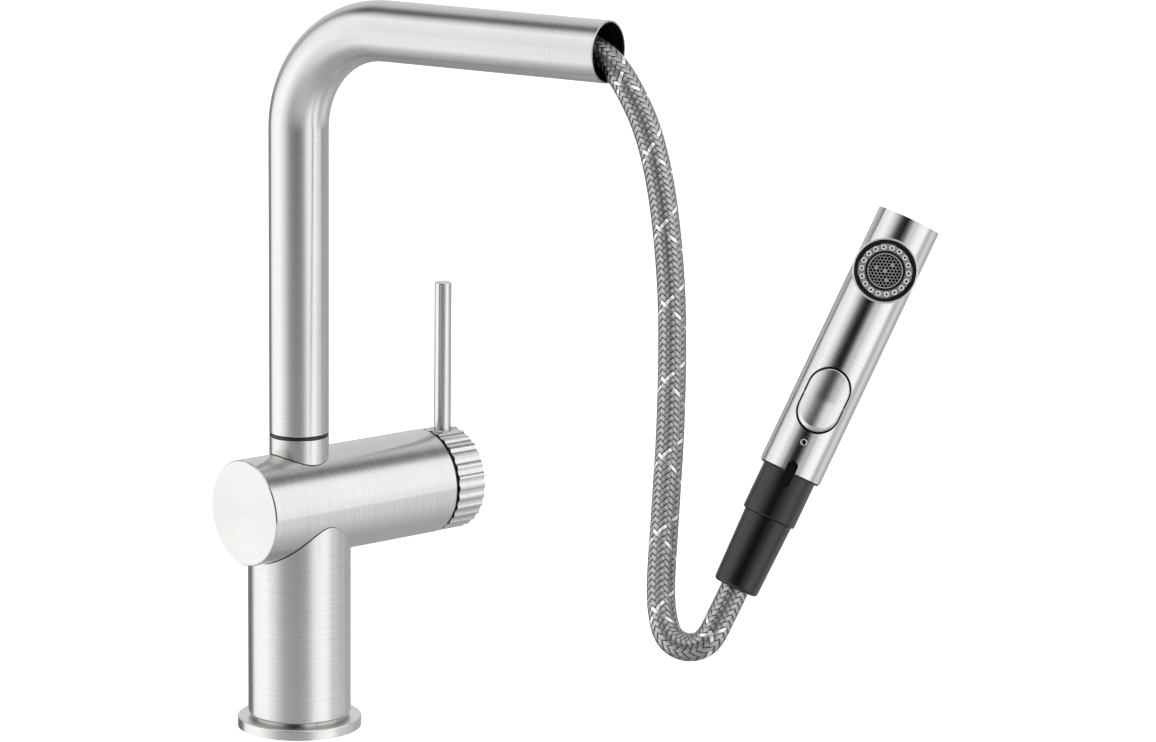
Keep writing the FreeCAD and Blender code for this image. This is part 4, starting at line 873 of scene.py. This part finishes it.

# %% [markdown]
# The steel parts get fine rounds: wider at the foot of the column and the top of the neck, where they show
# as bright rings, and as narrow as a hair along the seams. The hand spray has a round boss for its spray
# face. The rim of that boss is rougher, and its grey is painted paler as a painted highlight, so it has a
# finish of its own. How far out an edge lies from the hand spray's axis, in millimetres, tells the boss
# from the rest of the shell.

# %% Edges of the steel parts
FLANGE_EDGE = (0.3, 3)
FOOT_EDGE = (0.4, 3)
SEAM_EDGE = (0.12, 2)
NECK_EDGE = (0.35, 3)
CAP_EDGE = (0.2, 3)
DISC_EDGE = (0.15, 3)
BOSS_EDGE = (0.36, 5)
SHELL_EDGE = (0.16, 3)
FOOT_HEIGHT = 5 * MM
FOOT_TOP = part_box("base_column")[0].z + FOOT_HEIGHT
NECK_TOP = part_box("spout_neck")[1].z
SHELL_OUT, BOSS_OUT, RIM_OUT = 14.9, 15.0, 15.03
# Steel, and black as painted shade on the faces in the seam's gap.
SEAM_STEEL_AND_PAINTED_SHADE = (STEEL_UPRIGHT, DEEP_BLACK_AND_PAINTED_SHADE)
rounded_copy("base_flange", "base", STEEL_UPRIGHT, STEEL_SLOT, (FLANGE_EDGE, None))
rounded_copy("base_column", "base", SEAM_STEEL_AND_PAINTED_SHADE, STEEL_SLOT, (FOOT_EDGE, lambda p: p.z < FOOT_TOP),
             (SEAM_EDGE, lambda p: p.z > FOOT_TOP), seam=-1)
rounded_copy("spout_neck", "base", SEAM_STEEL_AND_PAINTED_SHADE, STEEL_SLOT, (SEAM_EDGE, lambda p: p.z < NECK_TOP - MM),
             (NECK_EDGE, lambda p: p.z > NECK_TOP - MM / 2), seam=1)
rounded_copy("handle_cap", "lever", STEEL_BARREL, STEEL_SLOT, (CAP_EDGE, None))
rounded_copy("handset_end_cap", "handset", STEEL_HANDSET, STEEL_SLOT, (DISC_EDGE, None))
# The rim's faces get the paler steel, a painted highlight.
rounded_copy("handset_shell", "handset", (STEEL_HANDSET, STEEL_RIM_PAINTED_HIGHLIGHT), STEEL_SLOT,
             (BOSS_EDGE, lambda p: in_spray(p).x > BOSS_OUT),
             (SHELL_EDGE, lambda p: in_spray(p).x < SHELL_OUT),
             rim=lambda p: in_spray(p).x > RIM_OUT)

# %% [markdown]
# The rocker that switches the spray has two faces that meet at a slight angle, and a rim that is rounded
# more and more towards the thumb's end. A bevel gives one width only, so the rocker is drawn line by line:
# the rim and the face are a stack of oval lines. Each line of the rim has a share of the rounding that it
# lies in from the wall, and a share that it lies down from the face.

# %% Measures of the rocker
ROCKER_FACE = 14.2 * MM
ROCKER_TILT = math.radians(6.0)
ROCKER_UNDERSIDE = 7.2 * MM
ROCKER_ROUND = 0.4 * MM
THUMB_ROUND = 1.8 * MM
ROCKER_RIM = [(0.0, 1.0), (0.0, 0.8), (0.06, 0.68), (0.2, 0.52), (0.74, 0.1), (0.9, 0.02), (1.0, 0.0)]
ROCKER_RINGS = [0.97, 0.85, 0.7, 0.55, 0.4, 0.25, 0.12, 0.0]
rocker_spots = [in_spray(vertex.co) * MM for vertex in NODES["rocker_button"].data.vertices]
ROCKER_SIDE = max(spot.y for spot in rocker_spots)
rocker_low = min(spot.z for spot in rocker_spots)
rocker_high = max(spot.z for spot in rocker_spots)
ROCKER_MIDDLE = (rocker_low + rocker_high) / 2
ROCKER_STRAIGHT = (rocker_high - rocker_low) / 2 - ROCKER_SIDE


def rocker_face(aside, along):
    """How far the rocker's two faces stand from the hand spray's axis."""
    upper = math.sqrt(ROCKER_FACE ** 2 - aside ** 2)
    below = ROCKER_MIDDLE - ROCKER_FACE * math.tan(ROCKER_TILT / 2) - along
    return max(upper, (upper + below * math.sin(ROCKER_TILT)) / math.cos(ROCKER_TILT))


def rocker_rounding(along):
    """The width of the rounded rim, wide at the thumb's end."""
    thumb = max(0.0, (ROCKER_MIDDLE - along) / (ROCKER_MIDDLE - rocker_low))
    return ROCKER_ROUND + THUMB_ROUND * thumb ** 2


print("rocker", round((rocker_high - rocker_low) / MM, 1), "by", round(2 * ROCKER_SIDE / MM, 1), "mm")

# %% [markdown]
# The rocker starts as a straight wall: an oval ring is extruded once for each line, so that a vertex's
# height counts the lines. Then every vertex is drawn to its place. The lines after the rim shrink towards
# the spine of the oval and fill the face.

# %% Rocker
ROCKER_SIDES = 94
ROCKER_CUTS = 15


def shape_rocker(point):
    """Moves a point of the straight wall, whose height counts the lines, to its place on the rocker."""
    line = round(point.z)
    spine = max(-ROCKER_STRAIGHT, min(ROCKER_STRAIGHT, point.x))
    rounding = rocker_rounding(ROCKER_MIDDLE + point.x)
    inset, drop = ROCKER_RIM[min(line, len(ROCKER_RIM) - 1)]
    keep = 1 - inset * rounding / ROCKER_SIDE
    if line >= len(ROCKER_RIM):
        keep *= ROCKER_RINGS[line - len(ROCKER_RIM)]
    aside = point.y * keep
    along = ROCKER_MIDDLE + spine + (point.x - spine) * keep
    height = rocker_face(aside, along) - drop * rounding if line else ROCKER_UNDERSIDE
    return Vector((height, aside, along))


def make_rocker():
    bm = bmesh.new()
    bmesh.ops.create_circle(bm, cap_ends=False, radius=ROCKER_SIDE, segments=ROCKER_SIDES)
    for vertex in bm.verts:
        vertex.co.x += math.copysign(ROCKER_STRAIGHT, vertex.co.x)
    sides = [edge for edge in bm.edges if edge.calc_length() > ROCKER_STRAIGHT]
    bmesh.ops.subdivide_edges(bm, edges=sides, cuts=ROCKER_CUTS)
    foot = bm.edges[:]
    ring = foot
    for _ in range(len(ROCKER_RIM) + len(ROCKER_RINGS) - 1):
        ring = push(bm, ring, (0, 0, 1))
    bmesh.ops.edgeloop_fill(bm, edges=foot)
    for vertex in bm.verts:
        vertex.co = shape_rocker(vertex.co)
    close_up(bm)
    return bm


finish_piece("rocker_button_rounded", make_rocker(), STEEL_ROCKER, "rocker", ["rocker_button"],
             HANDSET)

# %% [markdown]
# The black parts under the hand spray are moulded, with larger roundings at their lower ends, where a mould
# has to let go of them and where fingers hold them. Heights are in millimetres along the hand spray.

# %% Edges of the black parts
MOULDED_EDGE = (0.25, 3)
COLLAR_FOOT_EDGE = (1.1, 5)
COLLAR_FOOT, COLLAR_LOW, COLLAR_HIGH = -21.5, -20.0, -0.5
NUT_FOOT_EDGE = (1.8, 6)
NUT_FOOT, NUT_LOW = -55.0, -50.0
NUT_OUTER = 9.0


def on_nut_foot(point):
    """Whether a point is at the outer edge of the hose nut's lower end."""
    spot = in_spray(point)
    return spot.z < NUT_FOOT and spot.xy.length > NUT_OUTER


rounded_copy("docking_collar", "handset", BLACK_PLASTIC, BLACK_SLOT,
             (COLLAR_FOOT_EDGE, lambda p: in_spray(p).z < COLLAR_FOOT),
             (MOULDED_EDGE, lambda p: COLLAR_LOW < in_spray(p).z < COLLAR_HIGH))
rounded_copy("hose_nut_cover", "handset", BLACK_PLASTIC, BLACK_SLOT, (NUT_FOOT_EDGE, on_nut_foot),
             (MOULDED_EDGE, lambda p: in_spray(p).z > NUT_LOW))

# %% [markdown]
# The spray face is a target of rings. From the outside in: the steel rim, the black housing, a grey ring
# with 18 soft nozzles, a black jet, and the screen of its aerator. The ring is turned and then drawn in
# between four lobes, which are the ears that lock it.

# %% Nozzle ring
SPRAY_HEIGHT = 94.8 * MM
SPRAY = HANDSET @ placed((0, 0, SPRAY_HEIGHT), (1, 0, 0), (0, 0, 1))
RING = [(8.5, 11.0), (11.8, 11.0), (11.8, 14.05), (11.65, 14.2), (8.65, 14.2), (8.5, 14.05)]
RING_STEPS = 192
LOBES = 4
LOBE_TURN = 18.0
LOBE_HALF = 17.0
LOBE_INSET = 0.4 * MM
OUTER_WALL = 11.0 * MM


def make_nozzle_ring():
    bm = lathe(RING, RING_STEPS)
    apart = 360 / LOBES
    for vertex in bm.verts:
        radius = vertex.co.xy.length
        angle = math.degrees(math.atan2(vertex.co.y, vertex.co.x)) - LOBE_TURN
        off_lobe = abs((angle + apart / 2) % apart - apart / 2) > LOBE_HALF
        if radius > OUTER_WALL and off_lobe:
            vertex.co.xy *= 1 - LOBE_INSET / radius
    return bm


def spray_piece(name, bm, finish, nodes=()):
    """A piece of the spray face, which the hand spray carries."""
    finish_piece(name, bm, finish, "handset", nodes, SPRAY)


spray_piece("spray_ring", make_nozzle_ring(), SILICONE, ["nozzle_ring"])

# %% [markdown]
# A soft nozzle is a pale cone with a rounded lip and a shallow hole, whose floor is painted black as
# painted shade. One nozzle is turned, and a spin with duplicates sets the rest around the ring.

# %% Nozzles
NOZZLE = [(1.25, 14.0), (1.22, 14.6), (1.05, 14.98), (0.82, 15.1), (0.6, 15.06), (0.5, 14.9), (0, 14.7)]
NOZZLE_HOLE = 0.5 * MM
NOZZLE_STEPS = 24
NOZZLES = 18
NOZZLE_CIRCLE = 10.1 * MM
NOZZLE_TURN = math.radians(8.5)


def make_nozzles():
    bm = lathe(NOZZLE, NOZZLE_STEPS)
    # The floor of the hole gets the second finish: black, as painted shade.
    for face in bm.faces:
        face.material_index = 1 if face.calc_center_median().xy.length < NOZZLE_HOLE else 0
    bmesh.ops.translate(bm, vec=(NOZZLE_CIRCLE, 0, 0), verts=bm.verts)
    bmesh.ops.rotate(bm, cent=(0, 0, 0), matrix=Matrix.Rotation(NOZZLE_TURN, 3, "Z"), verts=bm.verts)
    bmesh.ops.spin(bm, geom=bm.verts[:] + bm.edges[:] + bm.faces[:], cent=(0, 0, 0), axis=(0, 0, 1),
                   angle=2 * math.pi * (NOZZLES - 1) / NOZZLES, steps=NOZZLES - 1, use_duplicate=True)
    return bm


spray_piece("spray_nozzles", make_nozzles(), (NOZZLE_SILICONE, DEEP_BLACK_AND_PAINTED_SHADE))

# %% [markdown]
# The aerator's screen is a honeycomb of round holes. Each cell is a hexagon with a hole in it, drawn at its
# place in the pattern, and cells that meet share their corners once doubles are merged. Four cells have no
# hole: pegs hold the screen there. The cells at the edge are cut short by the screen's round outline, and
# a thin bezel lies around it on the lip of the jet.

# %% Aerator screen
SCREEN_PITCH = 1.51 * MM
SCREEN_HOLE = 0.65 * MM
SCREEN_RIM = 7.05 * MM
SCREEN_TOP = 13.8 * MM
SCREEN_THICKNESS = 0.6 * MM
SCREEN_TURN = math.radians(-8.0)
SCREEN_ROWS = range(-5, 6)
SCREEN_PEGS = {(0, 0), (-2, 3), (-1, -2), (3, -1)}
CELL_STEPS = 24
SIDE_ANGLE = 60
BEZEL = [(7.14, 14.55), (7.5, 14.55), (7.5, 14.66), (7.43, 14.74), (7.21, 14.74), (7.14, 14.66)]


def add_cell(bm, centre, plugged):
    """A hexagon with a round hole, or a plain one over a peg."""
    rows = [[], [], []]
    for step in range(CELL_STEPS):
        angle = step * 2 * math.pi / CELL_STEPS
        way = Vector((math.cos(angle), math.sin(angle)))
        off_middle = (math.degrees(angle) + SIDE_ANGLE / 2) % SIDE_ANGLE - SIDE_ANGLE / 2
        edge = SCREEN_PITCH / 2 / math.cos(math.radians(off_middle))
        for row, reach, depth in ((0, edge, 0), (1, SCREEN_HOLE, 0), (2, SCREEN_HOLE, SCREEN_THICKNESS)):
            place = centre + way * reach
            if place.length > SCREEN_RIM:
                place *= SCREEN_RIM / place.length
            rows[row].append(bm.verts.new((place.x, place.y, SCREEN_TOP - depth)))
    if plugged:
        bm.faces.new(rows[0])
        return
    for upper, lower in zip(rows, rows[1:]):
        for step in range(CELL_STEPS):
            after = (step + 1) % CELL_STEPS
            bm.faces.new((upper[step], upper[after], lower[after], lower[step]))


def make_screen():
    bm = bmesh.new()
    for column in SCREEN_ROWS:
        for row in SCREEN_ROWS:
            centre = Vector((column + row / 2, row * math.sqrt(3) / 2)) * SCREEN_PITCH
            if centre.length < SCREEN_RIM:
                add_cell(bm, centre, (column, row) in SCREEN_PEGS)
    close_up(bm)
    bmesh.ops.rotate(bm, cent=(0, 0, 0), matrix=Matrix.Rotation(SCREEN_TURN, 3, "Z"), verts=bm.verts)
    return bm


spray_piece("aerator_honeycomb", make_screen(), SCREEN_PLASTIC, ["aerator_screen"])
spray_piece("aerator_bezel", lathe(BEZEL), BEZEL_PLASTIC)

# %% [markdown]
# A small screw under the rocker holds the insides of the hand spray. It stands a hair proud of the shell,
# and its rounded edge shows as a bright ring around a dark socket: its steel is painted paler as a painted
# highlight, and the socket's faces are painted black as painted shade. Sizes here are in millimetres.

# %% Set screw
SCREW_HEIGHT = 13.8
SCREW_PROUD = 0.25
SCREW_EDGE = (0.42, 5)
HEAD_START, HEAD_EDGE = 14.0, 1.2
SOCKET_TOP, SOCKET_RADIUS = 14.2, 1.05


def on_screw(point):
    """How far out a point of the screw lies, and how far from the screw's axis."""
    spot = in_spray(point)
    return spot.x, math.hypot(spot.y, spot.z - SCREW_HEIGHT)


def on_head_edge(point):
    """Whether a point is at the outer edge of the screw's head."""
    out, radius = on_screw(point)
    return out > HEAD_START and radius > HEAD_EDGE


def make_set_screw():
    bm = copy_of("set_screw")
    bmesh.ops.translate(bm, vec=HANDSET.to_3x3() @ Vector((SCREW_PROUD * MM, 0, 0)), verts=bm.verts)
    soften(bm, *SCREW_EDGE, on_head_edge)
    # Faces inside the socket get the second finish: black, as painted shade.
    for face in bm.faces:
        out, radius = on_screw(face.calc_center_median())
        face.material_index = 1 if radius < SOCKET_RADIUS and out < SOCKET_TOP else 0
    return bm


finish_piece("set_screw_rounded", make_set_screw(), (SCREW_STEEL_PAINTED_HIGHLIGHT, DEEP_BLACK_AND_PAINTED_SHADE), "handset",
             ["set_screw"])

# %% [markdown]
# The remaining parts keep the shape that the frame gives them and get the finish of their material slot.
# The direction of the turned lines depends on where a steel part sits, so the barrel has its own, and the
# spray's inner parts are a duller black than the collar.

# %% Finishes of the remaining parts
SLOT_FINISH = {
    "brushed_steel": STEEL_UPRIGHT, "brass": BRASS, "copper": COPPER, "black_plastic": BLACK_PLASTIC,
    "grey_plastic": GREY_PLASTIC, "cartridge_plastic": CARTRIDGE_PLASTIC, "pale_plastic": PALE_PLASTIC,
    "ceramic": CERAMIC, "rubber": RUBBER, "grey_silicone": SILICONE, "small_steel": SMALL_STEEL,
    "braid": HOSE_PLAIN,
}
PART_FINISH = {"mixer_barrel": STEEL_BARREL, "aerator_body": DEEP_BLACK_AND_PAINTED_SHADE, "aerator_housing": DEEP_BLACK_AND_PAINTED_SHADE}
for name, part in NODES.items():
    slot = part.data.materials[0].name.split(".")[0]
    finish = PART_FINISH.get(name, SLOT_FINISH[slot])
    part.data.materials.clear()
    part.data.materials.append(finish)
print("finishes on", len(NODES), "parts")

# %% [markdown]
# The studio is what polished steel looks like: a dark gap behind the camera draws the dark band along the
# front of each tube, and a tall soft light on each side draws the bright bands. Painting that room into the
# world is simpler than building it from lamps, and gives light without noise. Each list is one height of
# the room's wall, from the ceiling down: grey levels at bearings, in degrees from the camera's. The lower
# wall differs from the level one only at the far edge of the light on the right.

# %% Walls of the studio
STUDIO_TOP = [
    (-180, 0.55), (-156, 0.5), (-138, 0.15), (-128, 0.02), (-112, 0.02), (-100, 0.3), (-86, 0.7),
    (-60, 0.85), (60, 0.85), (88, 0.7), (98, 0.2), (105, 0.02), (115, 0.02), (126, 0.3), (138, 0.5),
    (162, 0.6), (180, 0.55),
]
STUDIO_HIGH = [
    (-180, 0.6), (-148, 0.55), (-135, 0.35), (-126, 0.4), (-115, 0.8), (-76, 1.0), (-60, 0.8), (-44, 0.5),
    (-32, 0.18), (-20, 0.03), (-6, 0.0), (2, 0.03), (12, 0.3), (24, 0.9), (55, 1.0), (90, 1.0),
    (104, 0.9), (112, 0.5), (118, 0.5), (130, 0.6), (180, 0.6),
]
STUDIO_LEVEL = [
    (-180, 0.32), (-150, 0.2), (-133, 0.2), (-122, 0.95), (-100, 1.08), (-76, 1.08), (-55, 0.76),
    (-40, 0.42), (-28, 0.2), (-16, 0.07), (0, 0.02), (14, 0.04), (21, 0.12), (28, 0.4), (35, 0.78),
    (46, 0.95), (57, 1.0), (68, 1.0), (80, 0.95), (93, 0.75), (101, 0.22), (107, 0.1), (114, 0.26),
    (135, 0.34), (180, 0.32),
]
RIGHT_LIGHT_EDGE = (68, 101)
STUDIO_LOWER = sorted(
    [stop for stop in STUDIO_LEVEL if not RIGHT_LIGHT_EDGE[0] < stop[0] < RIGHT_LIGHT_EDGE[1]]
    + [(76, 0.85), (83, 0.5), (93, 0.45)])
STUDIO_FLOOR = [
    (-180, 0.3), (-150, 0.12), (-128, 0.12), (-119, 0.9), (-100, 1.0), (-76, 1.0), (-55, 0.76), (-38, 0.56),
    (-28, 0.54), (-16, 0.56), (10, 0.56), (20, 0.58), (30, 0.7), (42, 0.95), (58, 1.05), (72, 0.92),
    (80, 0.56), (90, 0.48), (97, 0.56), (104, 0.7), (118, 0.66), (135, 0.42), (180, 0.32),
]
print("five walls, the longest with", len(STUDIO_LEVEL), "levels")

# %% [markdown]
# A colour ramp turns each list into a ring of greys around the tap. From the ground up, each ring takes
# over from the one below it between two heights of a ray, where 0 is level and 1 is straight up. The
# background that the camera sees directly is white.

# %% Studio
STUDIO_STRENGTH = 1.45
GROUND = (0.36,) * 3
OVERHEAD = (0.6,) * 3
OVERHEAD_START, OVERHEAD_STOP = 0.88, 0.95
STUDIO_RINGS = [
    (-0.9, -0.5, STUDIO_FLOOR), (-0.25, -0.2, STUDIO_LOWER), (-0.2, -0.17, STUDIO_LEVEL),
    (-0.08, 0.12, STUDIO_HIGH), (0.64, 0.72, STUDIO_TOP),
]


def bearing_ramp(tree, share, levels):
    """Grey levels at bearings, in degrees from the camera's, as a colour ramp."""
    ramp = add_node(tree, "ValToRGB", {"Fac": share})
    stops = ramp.color_ramp.elements
    stops.remove(stops[-1])
    stops[0].position = 0.0
    stops[0].color = (levels[0][1],) * 3 + (1,)
    for degrees, level in levels[1:]:
        stops.new(degrees / 360 + 0.5).color = (level, level, level, 1)
    return ramp.outputs["Color"]


def make_world():
    world = bpy.data.worlds.new("studio")
    world.use_nodes = True
    scene.world = world
    tree = world.node_tree
    tree.nodes.clear()
    way = add_node(tree, "TexCoord").outputs["Generated"]
    turned = add_node(tree, "VectorRotate", {"Vector": way, "Angle": -CAMERA_BEARING},
                      rotation_type="Z_AXIS").outputs[0]
    split = add_node(tree, "SeparateXYZ", {0: turned}).outputs
    bearing = math_node(tree, "ARCTAN2", split["Y"], split["X"])
    share = add_node(tree, "MapRange", {"Value": bearing, "From Min": -math.pi,
                                        "From Max": math.pi}).outputs["Result"]

    def above(start, stop):
        return add_node(tree, "MapRange", {"Value": split["Z"], "From Min": start, "From Max": stop},
                        interpolation_type="SMOOTHSTEP").outputs["Result"]

    room = GROUND
    for start, stop, levels in STUDIO_RINGS:
        room = blend_colours(tree, above(start, stop), room, bearing_ramp(tree, share, levels))
    room = blend_colours(tree, above(OVERHEAD_START, OVERHEAD_STOP), room, OVERHEAD)
    light = add_node(tree, "Background", {"Color": room, "Strength": STUDIO_STRENGTH})
    white = add_node(tree, "Background", {"Color": (1, 1, 1, 1), "Strength": 1.0})
    seen = add_node(tree, "LightPath").outputs["Is Camera Ray"]
    mix = add_node(tree, "MixShader", {"Fac": seen, 1: light.outputs[0], 2: white.outputs[0]})
    add_node(tree, "OutputWorld", {"Surface": mix.outputs[0]})


make_world()
print("studio painted")

# %% [markdown]
# The worktop is a plain pale plane at the height of the base flange's underside. Seen directly it is white,
# with the tap's soft shadow on it. It is see-through from below, so that the fixings under the worktop can
# be looked at, and it stays out of the reflections, which show the studio alone.

# %% Worktop
WORKTOP_HALF = 6.0
WORKTOP_GLOW = 0.62


def worktop_finish():
    material, tree, shader = new_material("worktop_white")
    rays = add_node(tree, "LightPath").outputs
    set_inputs(tree, shader, {
        "Base Color": (0.82, 0.82, 0.82, 1),
        "Roughness": 0.9,
        "Specular IOR Level": 0.0,
        "Emission Color": (1, 1, 1, 1),
        "Emission Strength": math_node(tree, "MULTIPLY", rays["Is Camera Ray"], WORKTOP_GLOW)})
    clear = add_node(tree, "BsdfTransparent").outputs[0]
    below = add_node(tree, "NewGeometry").outputs["Backfacing"]
    hidden = math_node(tree, "MAXIMUM", rays["Is Glossy Ray"], below)
    mix = add_node(tree, "MixShader", {"Fac": hidden, 1: shader.outputs[0], 2: clear})
    set_inputs(tree, tree.nodes["Material Output"], {"Surface": mix.outputs[0]})
    return material


worktop_shape = bmesh.new()
bmesh.ops.create_grid(worktop_shape, x_segments=1, y_segments=1, size=WORKTOP_HALF)
mesh_piece("worktop", worktop_shape, [worktop_finish()])
